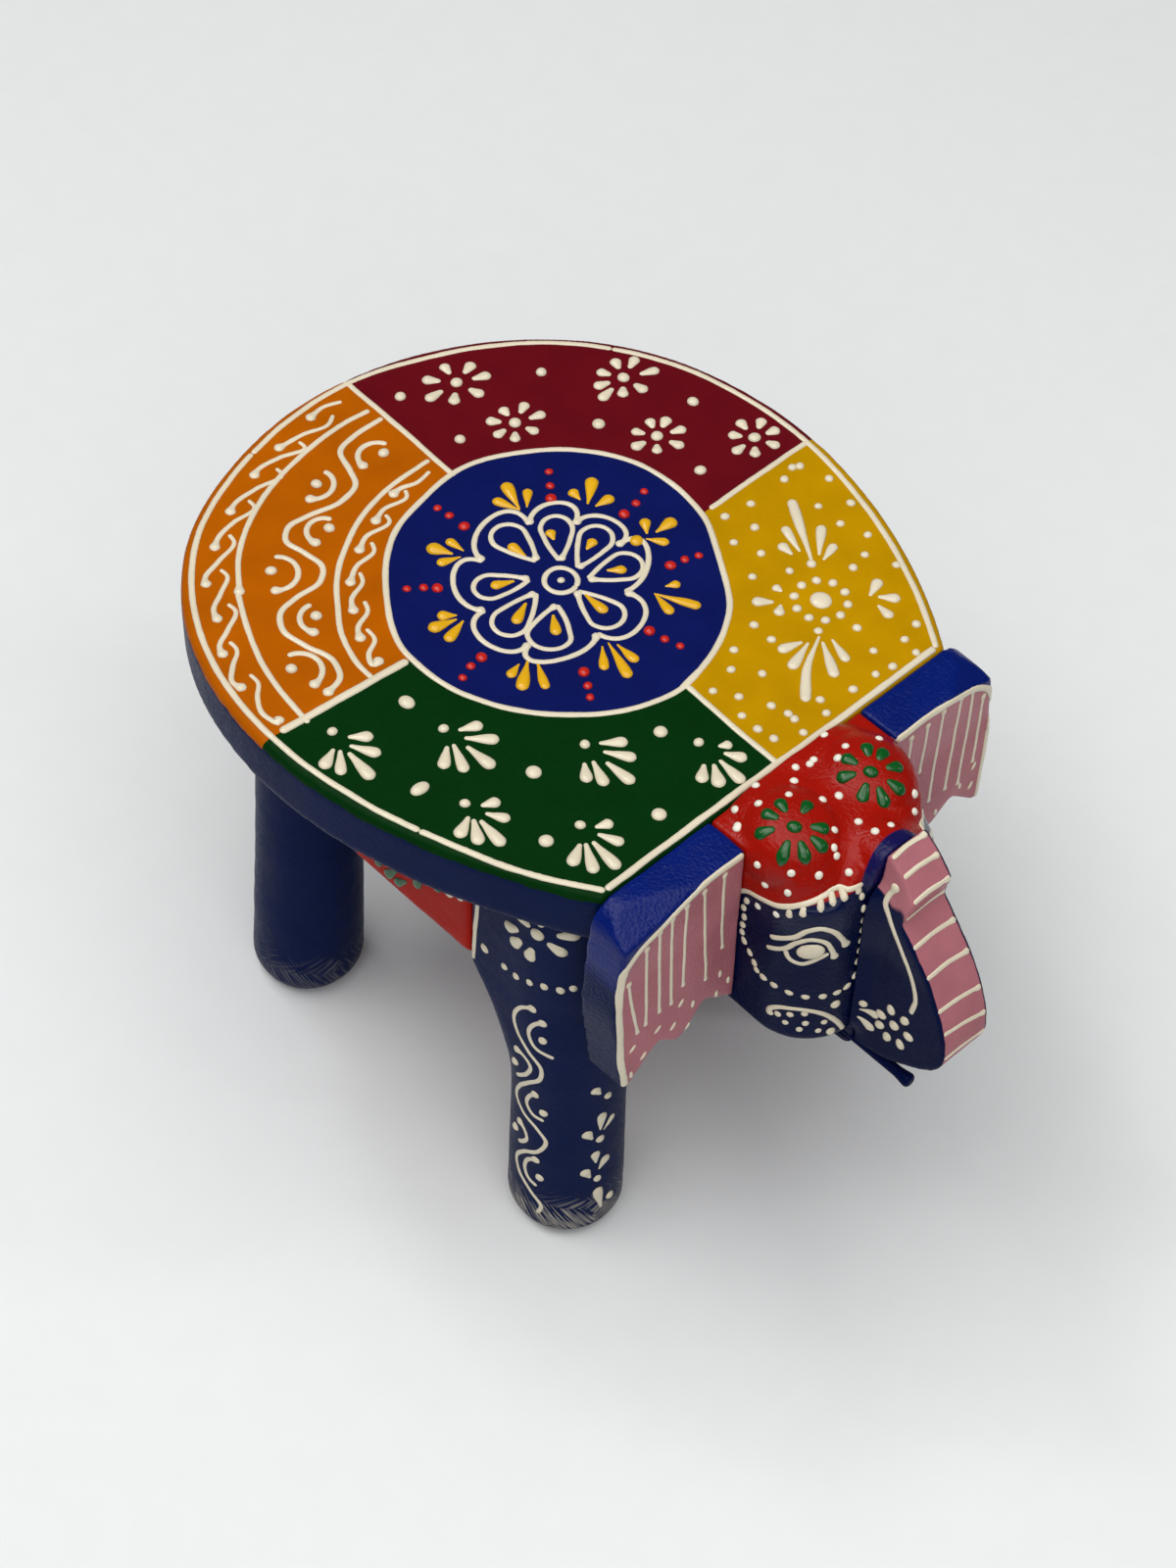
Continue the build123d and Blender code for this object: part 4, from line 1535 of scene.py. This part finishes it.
    def __init__(self, workshop: Workshop, tools: Tools) -> None:
        """Find the seat.

        Args:
            workshop: Workshop with the carved seat.
            tools: Geometry node trees.
        """
        tree = workshop.trees["seat_board"]
        self.pattern = Patch(tree, from_divider)
        self.board = Patch(tree, from_above)
        self.brush = Brush("seat", "seat_paint", tools, 21)

    def paint(self) -> None:
        """Paint the whole seat."""
        self.seams()
        self.medallion()
        self.maroon()
        self.orange()
        self.yellow()
        self.green()

    def seams(self) -> None:
        """Ring, four dividers and the border along the rim."""
        line, on, board = self.brush.line, self.pattern, self.board
        line(on, SeatZones().ring_path(), self.LINE)
        line(on, [(5.0, 50.8), (4.0, 70), (3.2, 90.5)], self.LINE)
        line(on, [(-5.5, -51), (-6.6, -75), (-7.5, -93.2)], 2.6)
        line(on, [(49.5, 0.9), (68, 0.6), (86.2, 0.8)], self.LINE)
        line(on, [(-51.3, 3.8), (-76, 4.2), (-101.8, 4.2)], self.LINE)
        whole = through([(self.BORDER_CENTRE[0] + radius * math.cos(math.radians(turn)),
                          self.BORDER_CENTRE[1] + radius * math.sin(math.radians(turn)))
                         for turn, radius in self.BORDER], 4.0)
        cuts = [round(share * (len(whole) - 1)) for share in self.BORDER_BREAKS]
        for a, b in zip(cuts, cuts[1:]):
            line(board, whole[a:b + 1], self.LINE)
        line(board, [(58.3, -64.4), (58.2, -20), (58.5, 20), (58.3, 60.2)], 2.1)

    def petal(self, apex: Pair, outer: Pair, width: float) -> list[Pair]:
        """Outline of a closed petal that starts and ends at its apex.

        Args:
            apex: Pointed inner end.
            outer: Middle of the outer end.
            width: Largest width.

        Returns:
            Places of the outline.
        """
        length = math.dist(apex, outer)
        ux, uy = (outer[0] - apex[0]) / length, (outer[1] - apex[1]) / length
        shape = ((0.0, 0.0), (0.22, 0.42), (0.5, 0.82), (0.76, 1.0), (0.94, 0.62), (1.0, 0.0),
                 (0.93, -0.64), (0.74, -1.0), (0.48, -0.8), (0.2, -0.4), (0.0, 0.0))
        return [(apex[0] + ux * t * length - uy * side * width / 2,
                 apex[1] + uy * t * length + ux * side * width / 2) for t, side in shape]

    def lobe(self, start: Pair, end: Pair, crown: Pair) -> list[Pair]:
        """Outline of one round scallop, a little wider at its shoulders than at its cusps.

        Args:
            start: First cusp.
            end: Second cusp.
            crown: Top of the scallop.

        Returns:
            Places of the outline.
        """
        foot = Vector(start)
        middle = (foot + Vector(end)) / 2
        places = []
        for k in range(11):
            turn = math.pi * k / 10
            spread = math.cos(turn) * (1 + 0.25 * math.sin(turn))
            spot = middle + (foot - middle) * spread + (Vector(crown) - middle) * math.sin(turn)
            places.append((spot.x, spot.y))
        return places

    def medallion(self) -> None:
        """Flower of eight petals inside eight scallops, with red and yellow accents."""
        brush, on = self.brush, self.pattern
        brush.line(on, arc((-1.2, 0.4), 4.7, 20, 385, 16), 1.7)
        brush.dot(on, (-1.2, 0.4), 2.2)
        for (apex, outer, width), (tail, head) in zip(self.PETALS, self.HEARTS):
            brush.line(on, self.petal(apex, outer, width), 1.6, head=2.6)
            brush.drop(on, tail, head, 3.4, Pigment.PALE_YELLOW)
        for start, end, crown in zip(self.CUSPS[-1:] + self.CUSPS, self.CUSPS,
                                     self.CROWNS[-1:] + self.CROWNS):
            brush.line(on, self.lobe(start, end, crown), 1.7, head=2.8)
        for triplet in self.TRIPLETS:
            for place, size in zip(triplet, (2.5, 2.7, 3.4)):
                brush.dot(self.board, place, size, pigment=Pigment.SCARLET)
        for tail, head, width in self.SPRIGS:
            brush.drop(on, tail, head, width, Pigment.PALE_YELLOW, thin=0.22)
        brush.dot(on, (1, 26.5), 4.0, pigment=Pigment.PALE_YELLOW)

    def maroon(self) -> None:
        """Five florets and six dots."""
        brush, on = self.brush, self.pattern
        for (x, y), petals in self.FLORETS:
            brush.dot(on, (x, y), 3.8)
            for dx, dy in petals:
                brush.drop(on, (x + 0.58 * dx, y + 0.58 * dy), (x + 1.3 * dx, y + 1.3 * dy),
                           3.7 * brush.random.uniform(0.94, 1.06), thin=0.45)
        for place, size in self.MAROON_DOTS:
            brush.dot(on, place, size)

    def orange(self) -> None:
        """Two arcs with a chain of scrolls outside each, and a wave with curls between."""
        brush, on, board = self.brush, self.pattern, self.board
        brush.line(board, self.INNER_ARC, 1.8)
        brush.line(board, self.OUTER_ARC, 1.8, head=3.5)
        brush.line(board, self.OUTER_ARC_END, 1.8)
        for scroll in self.OUTER_SCROLLS + self.INNER_SCROLLS:
            brush.line(board, scroll, 1.7, head=3.4, thin=0.8)
        brush.line(on, self.WAVE, 1.9, head=3.4)
        for centre, radius, start, end, dot in self.CURLS:
            path = arc(centre, radius, start, end, 8)
            brush.line(on, path, 1.8, head=3.4)
            brush.dot(on, dot, 3.4)

    def yellow(self) -> None:
        """Flower of dots among four fans of drops, with scattered dots."""
        brush, on = self.brush, self.pattern
        middle = (50.7, 50.5)
        brush.dot(on, middle, 6.5, 6.2, 0)
        for k in range(10):
            turn = math.radians(2 + 36 * k)
            place = (middle[0] + 7.5 * math.cos(turn), middle[1] + 7.5 * math.sin(turn))
            brush.dot(on, place, 2.8)
        for tail, head, width in self.YELLOW_DROPS:
            brush.drop(on, tail, head, width, thin=0.32)
        brush.drop(on, (60, 41), (75, 21.5), 3.2, bend=-0.06)
        brush.line(on, [(57.5, 43), (59.3, 41.2)], 1.6, head=2.8)
        brush.dot(on, (39, 58), 3.0)
        brush.dots(on, self.YELLOW_DOTS, 2.6)

    def green(self) -> None:
        """Palmettes that point to the head, with single dots."""
        brush, on = self.brush, self.pattern
        for (x, y), leaves in self.PALMETTES:
            brush.dot(on, (x, y), 3.0)
            for tail, head in leaves:
                out = (Vector(head) - Vector(tail)).normalized() * 1.7
                tip = (x + head[0] + out.x, y + head[1] + out.y)
                brush.drop(on, (x + tail[0], y + tail[1]), tip,
                           3.8 * brush.random.uniform(0.93, 1.07), thin=0.35)
        for place, length, width in self.GREEN_DOTS:
            brush.dot(on, place, length, width, 0)


class HeadPainting(Painting):
    """Raised pattern of the cap, the cheeks and the mouth."""

    FAR_FLOWER = (80.3, 10.8)
    FAR_PETALS = ((78.2, 17.3), (83, 17.1), (87, 13.5), (86.8, 8.8), (82.9, 5.8), (76.5, 5.8),
                  (73.8, 9.6), (74.7, 15.4))
    NEAR_FLOWER = (79.7, -17.3)
    NEAR_PETALS = ((77.4, -10.6), (84, -12.2), (86.8, -15.4), (85.6, -19.8), (82.1, -23.1),
                   (74.7, -22.9), (72.6, -19), (72.8, -14.9))
    CAP_DOTS = ((69.5, 12.5), (70.7, 8.3), (73, 22), (64.3, -0.8), (65.7, 4.6), (66, 2.9),
                (78.8, 0.6), (88, -1.5), (93.4, -1), (94.5, 4), (77.3, -4), (71.1, -10.6),
                (67.4, -4.6), (67, -17.7), (86.3, -8.8), (91, -12.5), (62.6, -21.7), (66.5, -24.5),
                (90.3, 17.9), (93, 15.4), (61.5, 13), (61.5, -13))
    CAP_EDGE = ((71.8, 151), (75, 153.8), (80, 155.3), (85, 157), (90, 159.3), (95, 161.3),
                (100, 162.9), (105, 163.8), (112, 164))
    TEETH = ((89.4, 156.8), (93.1, 158.8), (97.8, 161), (101.5, 162.1), (105, 163), (110, 163.3))
    RIM_DOTS = ((66.8, 170), (77.5, 167), (80.3, 160.7), (86.9, 168.5), (87.6, 162.6),
                (96.6, 167.8), (107, 172), (109.5, 166.8), (79.3, 151.5), (85.8, 154))
    DASHES = ((75.3, 150), (74.5, 146.3), (75, 142.8), (74.8, 139.3), (74.9, 136.3), (75.9, 133.4),
              (78.3, 130.5), (80.2, 127.7), (81.2, 125.5), (83.8, 124.8), (87.5, 124.5),
              (92, 123.9), (96.6, 123.4), (101.3, 123.4), (105.4, 123.7), (108.4, 124.6),
              (110.9, 127.5), (111.3, 133.3), (111.5, 138), (111.5, 142.5), (111.5, 147),
              (111.5, 151.2), (111, 156.3), (110.9, 160.6))
    UPPER_LID = ((83.8, 138.3), (89.5, 142), (92.5, 146), (96.5, 148.5), (100, 147.5),
                 (102.5, 143), (103.6, 139.5))
    LOWER_LID = ((89.5, 141.5), (91, 138.5), (94, 137.5), (98, 139.8), (101.5, 142.5))
    BROW = ((84.5, 143.3), (88, 145.3), (92, 148.3), (95, 152), (98.5, 153.4), (102, 151.5),
            (104.5, 148), (106.8, 143.5))
    MOUTH = ((87.5, 110.5), (86.8, 112.5), (89, 115.3), (92.5, 116.8), (96.5, 117.3), (101, 115.8),
             (105, 112), (106.8, 109.5), (109.3, 104.6))
    MOUTH_DOTS = ((89.5, 112.6), (93, 114.2), (96.9, 115.5), (91.9, 110), (97.5, 111.2),
                  (102.7, 111.2), (96, 108.2), (101.3, 107.6))

    def __init__(self, workshop: Workshop, tools: Tools) -> None:
        """Find the head.

        Args:
            workshop: Workshop with the carved head.
            tools: Geometry node trees.
        """
        tree = workshop.trees["head_block"]
        self.top = Patch(tree, from_above)
        near = round_corner((83.5, -10.5), 18.0)
        self.cheek = Patch(tree, near)
        self.far_cheek = Patch(tree, mirrored(near))
        self.brush = Brush("head", "head_paint", tools, 31)

    def paint(self) -> None:
        """Paint the cap and both cheeks."""
        brush = self.brush
        for centre, petals in ((self.FAR_FLOWER, self.FAR_PETALS),
                               (self.NEAR_FLOWER, self.NEAR_PETALS)):
            brush.dot(self.top, centre, 4.3, 3.6, 30, Pigment.LEAF)
            for petal in petals:
                out = (Vector(petal) - Vector(centre)).normalized()
                tail, head = Vector(petal) - out * 2.6, Vector(petal) + out * 2.7
                brush.drop(self.top, tuple(tail), tuple(head), 3.9, Pigment.LEAF, thin=0.5)
        brush.dots(self.top, self.CAP_DOTS, 2.3, Pigment.WHITE)
        self.face(self.cheek)
        self.face(self.far_cheek)
        brush.dots(self.cheek, self.RIM_DOTS, 2.3, Pigment.WHITE)

    def face(self, patch: Patch) -> None:
        """Paint one cheek.

        Args:
            patch: Cheek.
        """
        brush = self.brush
        brush.line(patch, self.CAP_EDGE, 1.7)
        for u, v in self.TEETH:
            brush.line(patch, [(u, v + 1.4), (u + 0.2, v - 1.6)], 1.7, head=2.2)
        brush.chain(patch, self.DASHES, 2.7, 2.0)
        brush.line(patch, self.UPPER_LID, 1.7, head=2.6)
        brush.line(patch, self.LOWER_LID, 1.6)
        brush.line(patch, self.BROW, 1.8, head=2.8)
        brush.dot(patch, (96.5, 143.4), 8.0, 6.0, 25)
        brush.line(patch, self.MOUTH, 1.7, tail=2.6)
        brush.dots(patch, self.MOUTH_DOTS, 2.0)
        brush.dot(patch, (105, 106.2), 2.8)
        brush.dot(patch, (105.3, 118.5), 3.0)


def mirrored(rule: Callable[[float, float], Ray]) -> Callable[[float, float], Ray]:
    """Make the rule for the elephant's left side from the one for its right side.

    Args:
        rule: Rule for the right side.

    Returns:
        The rule for the left side.
    """
    def ray(u: float, v: float) -> Ray:
        """Ray for one place of the pattern."""
        origin, direction = rule(u, v)
        return (Vector((origin.x, -origin.y, origin.z)),
                Vector((direction.x, -direction.y, direction.z)))
    return ray


class TrunkPainting(Painting):
    """Raised pattern of the trunk: stripes on the front, a vine and a flower on the sides."""

    STRIPES = ((174.4, 174.2), (170.6, 170.2), (165.2, 164.6), (158.6, 158.2), (151.0, 150.6),
               (143.6, 143.0), (134.2, 132.5), (127.0, 124.2), (117.4, 116.4), (109.5, 108.6))
    VINE = ((107, 167.5), (105.5, 161), (108, 156), (112, 150), (116, 144), (119, 138),
            (120.3, 133), (119.5, 126))
    FLOWER = (114.8, 116)
    FLOWER_PETALS = ((113, 121.2), (118, 121.3), (120, 116.2), (117.7, 110.3), (113, 109),
                     (110, 111.5), (110, 116.2))

    def __init__(self, workshop: Workshop, tools: Tools) -> None:
        """Find the trunk.

        Args:
            workshop: Workshop with the carved trunk.
            tools: Geometry node trees.
        """
        tree = workshop.trees["trunk"]
        self.front = Patch(tree, from_front)
        self.sides = (Patch(tree, from_right), Patch(tree, mirrored(from_right)))
        self.brush = Brush("trunk", "trunk_paint", tools, 41)

    def paint(self) -> None:
        """Paint the front and both sides."""
        brush = self.brush
        for left, right in self.STRIPES:
            edge = -8.0 * TrunkShape().narrow(left)
            brush.line(self.front, [(edge, left), (0, (left + right) / 2 + 0.3), (7.9, right)],
                       1.5, head=2.2)
        for patch in self.sides:
            brush.drop(patch, (103.4, 110.4), (108.0, 106.4), 3.4)
            brush.drop(patch, (103.6, 113.6), (109.2, 114.0), 3.0)
            brush.dot(patch, (104.4, 116.6), 2.6)
            brush.line(patch, self.VINE, 1.7, tail=3.0)
            brush.dot(patch, self.FLOWER, 3.4)
            for petal in self.FLOWER_PETALS:
                out = Vector(petal) - Vector(self.FLOWER)
                brush.dot(patch, petal, 3.7, 2.9, math.degrees(math.atan2(out.y, out.x)))


EAR_EDGES: dict[str, tuple[Pair, ...]] = {
    "ear_right": ((-29.0, 168.4), (-44, 168.4), (-52, 166.4), (-59.5, 163.4), (-66.5, 160.6),
                  (-71.2, 156.0), (-72.6, 148), (-72.6, 136), (-71.6, 122), (-70.6, 112),
                  (-69.2, 102.6)),
    "ear_left": ((29.0, 168.4), (45, 168.6), (55, 166.8), (62, 164.4), (67, 160), (69.2, 153),
                 (69.7, 140), (69.7, 127), (69.5, 112.4)),
}


class EarPainting(Painting):
    """Raised lines of one ear's front."""

    RIGHT_LINES = (((-70, 150), (-65.5, 123)), ((-64, 160), (-62.5, 124)),
                   ((-59.5, 163), (-57.5, 125)), ((-55, 165), (-53, 124.5)),
                   ((-50, 166), (-48.8, 129)), ((-43.5, 166.5), (-40, 124)),
                   ((-36, 167), (-34.5, 133)))
    RIGHT_DASHES = ((-67, 117.5), (-57.8, 118), (-62.7, 110.5), (-52, 114.2), (-49.3, 122),
                    (-44.5, 117.3), (-46, 108.5), (-34.5, 121.8), (-35.3, 113.5), (-31, 116),
                    (-67.2, 106))
    LEFT_LINES = (((35, 166), (35.5, 140)), ((41.5, 166), (41, 145)), ((47.7, 167), (47, 128)),
                  ((55, 167), (53.5, 128)), ((60, 166), (59, 126)), ((65, 160), (64.7, 131)))
    LEFT_DASHES = ((65.5, 129), (60.3, 124.5), (65.5, 120.5), (51, 120.5), (56.5, 117))

    def __init__(self, workshop: Workshop, tools: Tools, right: bool) -> None:
        """Find the ear.

        Args:
            workshop: Workshop with the carved ears.
            tools: Geometry node trees.
            right: True for the elephant's right ear.
        """
        name = "ear_right" if right else "ear_left"
        self.right = right
        self.patch = Patch(workshop.trees[name], from_front)
        self.brush = Brush(name, "ear_paint", tools, 51 + right)

    def paint(self) -> None:
        """Paint the edge line, the long lines and the dashes."""
        lines, dashes = ((self.RIGHT_LINES, self.RIGHT_DASHES) if self.right else
                         (self.LEFT_LINES, self.LEFT_DASHES))
        brush = self.brush
        brush.line(self.patch, EAR_EDGES[brush.name], 2.2)
        for top, low in lines:
            brush.line(self.patch, [top, ((top[0] + low[0]) / 2 + brush.random.uniform(-0.4, 0.4),
                                          (top[1] + low[1]) / 2), low], 1.25, head=1.8, tail=2.3)
        for place in dashes:
            brush.dot(self.patch, place, 3.2, 1.4, 70 + brush.random.uniform(-30, 30))


class LegPainting(Painting):
    """Raised vine, leaves and shoulder flower of one front leg."""

    FLOWER = (41.8, 142.0)
    PETALS = ((32.8, 137.0), (34.8, 132.6), (39.8, 131.9), (47.2, 138.8), (49.6, 145.6),
              (47.8, 150.0), (42.9, 148.6), (37.0, 144.7))
    SINGLE = (22.2, 117.6)
    ARC_DOTS = ((30.1, 117.1), (34.8, 117.4), (39.8, 119.2), (44.3, 120.8))
    ARC_END = ((9.6, 121.4), (13.2, 123.2))
    VINE = ((2.2, 108.5), (-2.5, 105.5), (-5.5, 98), (-4, 92), (0, 87.5), (4.5, 83), (4.5, 78),
            (0, 72), (-4, 66), (-5.7, 60), (-2.5, 56), (4, 52.5), (6.8, 49), (5, 43), (-1, 37),
            (-4.2, 31), (-2.5, 25.5), (2.5, 20), (6, 15), (5, 11))
    CURLS = (
        (((5.5, 104.5), (1.5, 101), (0, 96), (2, 91.5), (8.5, 89.8)), (4.8, 96.2)),
        (((-5.5, 84), (-1.5, 83.5), (0.8, 81), (-0.5, 76), (-5, 70.5)), (-5.2, 77)),
        (((3.5, 70), (0.5, 66), (-0.5, 61.5), (2, 58.5), (6, 58.3)), (5.8, 62.2)),
        (((-4.5, 50), (-1.5, 48.5), (0.2, 45), (-1.5, 41.5), (-3.5, 39.5)), (-5.2, 44.5)),
        (((5, 38.5), (1, 35), (-0.2, 30), (1.5, 26), (4.5, 24.5)), (5.3, 29.7)),
    )
    LEAVES = (((22.5, 71), (20, 75), 3.4), ((23, 53), (23.5, 61), 3.4), ((24, 52), (28, 56.5), 2.4),
              ((20.5, 50), (18, 54.5), 3.6), ((22, 37), (21.5, 43), 3.2), ((23, 33), (26, 38), 3.6),
              ((20.3, 30.5), (18, 35.5), 3.6), ((24.3, 12.5), (22.5, 24), 3.6))
    LEAF_DOTS = ((25, 68.5), (22.9, 48.8), (22.5, 29), (27.3, 16))

    def __init__(self, workshop: Workshop, tools: Tools, name: str) -> None:
        """Find the leg.

        Args:
            workshop: Workshop with the carved legs.
            tools: Geometry node trees.
            name: leg_front_right or leg_front_left.
        """
        rule = round_post((39.8, -56.6), LEG_RADIUS)
        if name.endswith("left"):
            rule = mirrored(rule)
        side = mirrored(from_right) if name.endswith("left") else from_right
        self.patch = Patch(workshop.trees[name], rule)
        self.side = Patch(workshop.trees[name], side)
        self.brush = Brush(name, "leg_paint", tools, 61 + len(name))

    def paint(self) -> None:
        """Paint the leg."""
        brush, on = self.brush, self.patch
        brush.dot(self.side, self.FLOWER, 4.4)
        for petal in self.PETALS:
            out = (Vector(petal) - Vector(self.FLOWER)).normalized() * 2.9
            tail, head = Vector(petal) - out, Vector(petal) + out
            brush.drop(self.side, tuple(tail), tuple(head), 4.4, thin=0.5)
        brush.dots(self.side, self.ARC_DOTS, 2.5)
        brush.dots(on, self.ARC_END, 2.5)
        brush.dot(self.side, self.SINGLE, 3.4, 2.6, -50)
        for shift in (0.0, -25.0):
            vine = [(a + shift, z) for a, z in self.VINE]
            brush.line(on, vine, 1.5, tail=3.2)
            for path, dot in self.CURLS:
                brush.line(on, [(a + shift, z) for a, z in path], 1.5, tail=3.0)
                brush.dot(on, (dot[0] + shift, dot[1]), 2.8)
        for tail, head, width in self.LEAVES:
            brush.drop(on, tail, head, width, thin=0.3)
        brush.dots(on, self.LEAF_DOTS, 2.8)


class BellyPainting(Painting):
    """Raised motifs of the belly's sides and the seam at each shoulder."""

    LEAVES = (((-20.0, 118.4), (-22.6, 112.8)), ((-14.0, 117.6), (-18.6, 111.6)),
              ((-9.8, 117.0), (-14.6, 112.0)), ((-3.4, 124.2), (-6.2, 118.2)),
              ((1.2, 129.0), (3.4, 124.4)), ((-12.6, 122.4), (-8.4, 127.0)),
              ((-19.8, 123.6), (-23.6, 127.4)))
    DOTS = ((7.9, 128.6), (12.4, 131.2), (-16.2, 121.0), (-25.6, 136.0))

    def __init__(self, workshop: Workshop, tools: Tools) -> None:
        """Find the body and the shoulders.

        Args:
            workshop: Workshop with the carved pieces.
            tools: Geometry node trees.
        """
        trees = workshop.trees
        self.sides = (Patch(trees["body_block"], from_right),
                      Patch(trees["body_block"], mirrored(from_right)))
        self.shoulders = (Patch(trees["leg_front_right"], from_right),
                          Patch(trees["leg_front_left"], mirrored(from_right)))
        self.brush = Brush("belly", "belly_paint", tools, 81)

    def paint(self) -> None:
        """Paint both sides."""
        brush = self.brush
        for side, shoulder in zip(self.sides, self.shoulders):
            brush.line(shoulder, [(19.6, 150), (19.4, 136), (18.2, 122), (17.4, 108.5)], 1.7)
            for tail, head in self.LEAVES:
                brush.drop(side, tail, head, 3.4, Pigment.LEAF, thin=0.4)
            brush.dots(side, self.DOTS, 3.0)


class Studio:
    """Camera, lights and floor."""

    CAMERA = (0.44967, -0.46759, 0.88541)
    RIGHT = (0.6885, 0.7248, 0.0254)
    UP = (-0.5681, 0.5172, 0.6401)
    BACK = (0.4507, -0.4552, 0.7679)
    LENS = 81.1
    FLOOR_HALF = 4.0
    ROOM = ((0.86, 0.90, 0.94, 1), 0.10)
    LAMPS = (
        ("key", (-0.05, -0.10, 0.99), 2.3, 2.15, 31.0, (1.0, 0.99, 0.97)),
        ("left", (-0.38, -0.38, 0.84), 2.3, 1.4, 11.5, (1.0, 0.99, 0.97)),
        ("front", (0.45, -0.40, 0.80), 2.3, 2.15, 29.0, (1.0, 1.0, 1.0)),
        ("sparkle", (0.56, 0.455, 0.69), 1.5, 0.2, 1.8, (1.0, 0.98, 0.95)),
        ("glint", (-0.45, -0.02, 0.87), 1.5, 0.2, 2.0, (1.0, 1.0, 1.0)),
    )

    def build(self) -> None:
        """Place the camera, the lights and the floor."""
        scene = bpy.context.scene
        lens = bpy.data.cameras.new("camera")
        lens.lens, lens.sensor_width, lens.sensor_fit = self.LENS, 36.0, "AUTO"
        lens.clip_start, lens.clip_end = 0.01, 20.0
        camera = bpy.data.objects.new("camera", lens)
        axes = Matrix((self.RIGHT, self.UP, self.BACK)).transposed().to_4x4()
        camera.matrix_world = Matrix.Translation(Vector(self.CAMERA) + OFFSET * MM) @ axes
        scene.collection.objects.link(camera)
        scene.camera = camera
        scene.view_settings.view_transform = "Standard"
        for lamp in self.LAMPS:
            self.lamp(*lamp)
        world = bpy.data.worlds.new("room")
        scene.world = world
        world.use_nodes = True
        background = world.node_tree.nodes["Background"].inputs
        background[0].default_value, background[1].default_value = self.ROOM
        mesh = bpy.data.meshes.new("floor")
        size = self.FLOOR_HALF
        mesh.from_pydata([(-size, -size, 0), (size, -size, 0), (size, size, 0), (-size, size, 0)],
                         [], [(0, 1, 2, 3)])
        floor = bpy.data.objects.new("floor", mesh)
        mesh.materials.append(plain("floor_grey", Pigment.FLOOR,
                                    Gloss(roughness=0.6, coat=0.0, orange_peel=0.0, mottle=0.01)))
        scene.collection.objects.link(floor)

    def lamp(self, name: str, direction: Sequence[float], distance: float, size: float,
             power: float, colour: Sequence[float]) -> None:
        """Add a soft lamp that looks at the stool.

        Args:
            name: Lamp name.
            direction: Way from the stool to the lamp.
            distance: Distance in metres.
            size: Edge of the square lamp in metres.
            power: Watts.
            colour: Linear colour.
        """
        data = bpy.data.lights.new(name, "AREA")
        data.shape, data.size, data.energy, data.color = "SQUARE", size, power, colour
        lamp = bpy.data.objects.new(name, data)
        way = Vector(direction).normalized()
        lamp.location = Vector((0, 0, 0.1)) + way * distance
        lamp.rotation_mode = "QUATERNION"
        lamp.rotation_quaternion = way.to_track_quat("Z", "Y")
        bpy.context.scene.collection.objects.link(lamp)


def main() -> None:
    """Build the stool in order."""
    logging.basicConfig(level=logging.INFO, format="%(name)s: %(message)s")
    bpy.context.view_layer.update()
    workshop = Workshop(frame["nodes"])
    Studio().build()
    Woodwork(workshop).build()
    tools = Tools()
    paints = {pigment: plain("paint_" + pigment.name.lower(), pigment, CONE_PAINT)
              for pigment in (Pigment.CREAM, Pigment.WHITE, Pigment.SCARLET,
                              Pigment.PALE_YELLOW, Pigment.LEAF)}
    SeatPainting(workshop, tools).build(paints)
    HeadPainting(workshop, tools).build(paints)
    TrunkPainting(workshop, tools).build(paints)
    for right in (True, False):
        EarPainting(workshop, tools, right).build(paints)
    for name in ("leg_front_right", "leg_front_left"):
        LegPainting(workshop, tools, name).build(paints)
    BellyPainting(workshop, tools).build(paints)


if __name__ == "__main__":
    main()
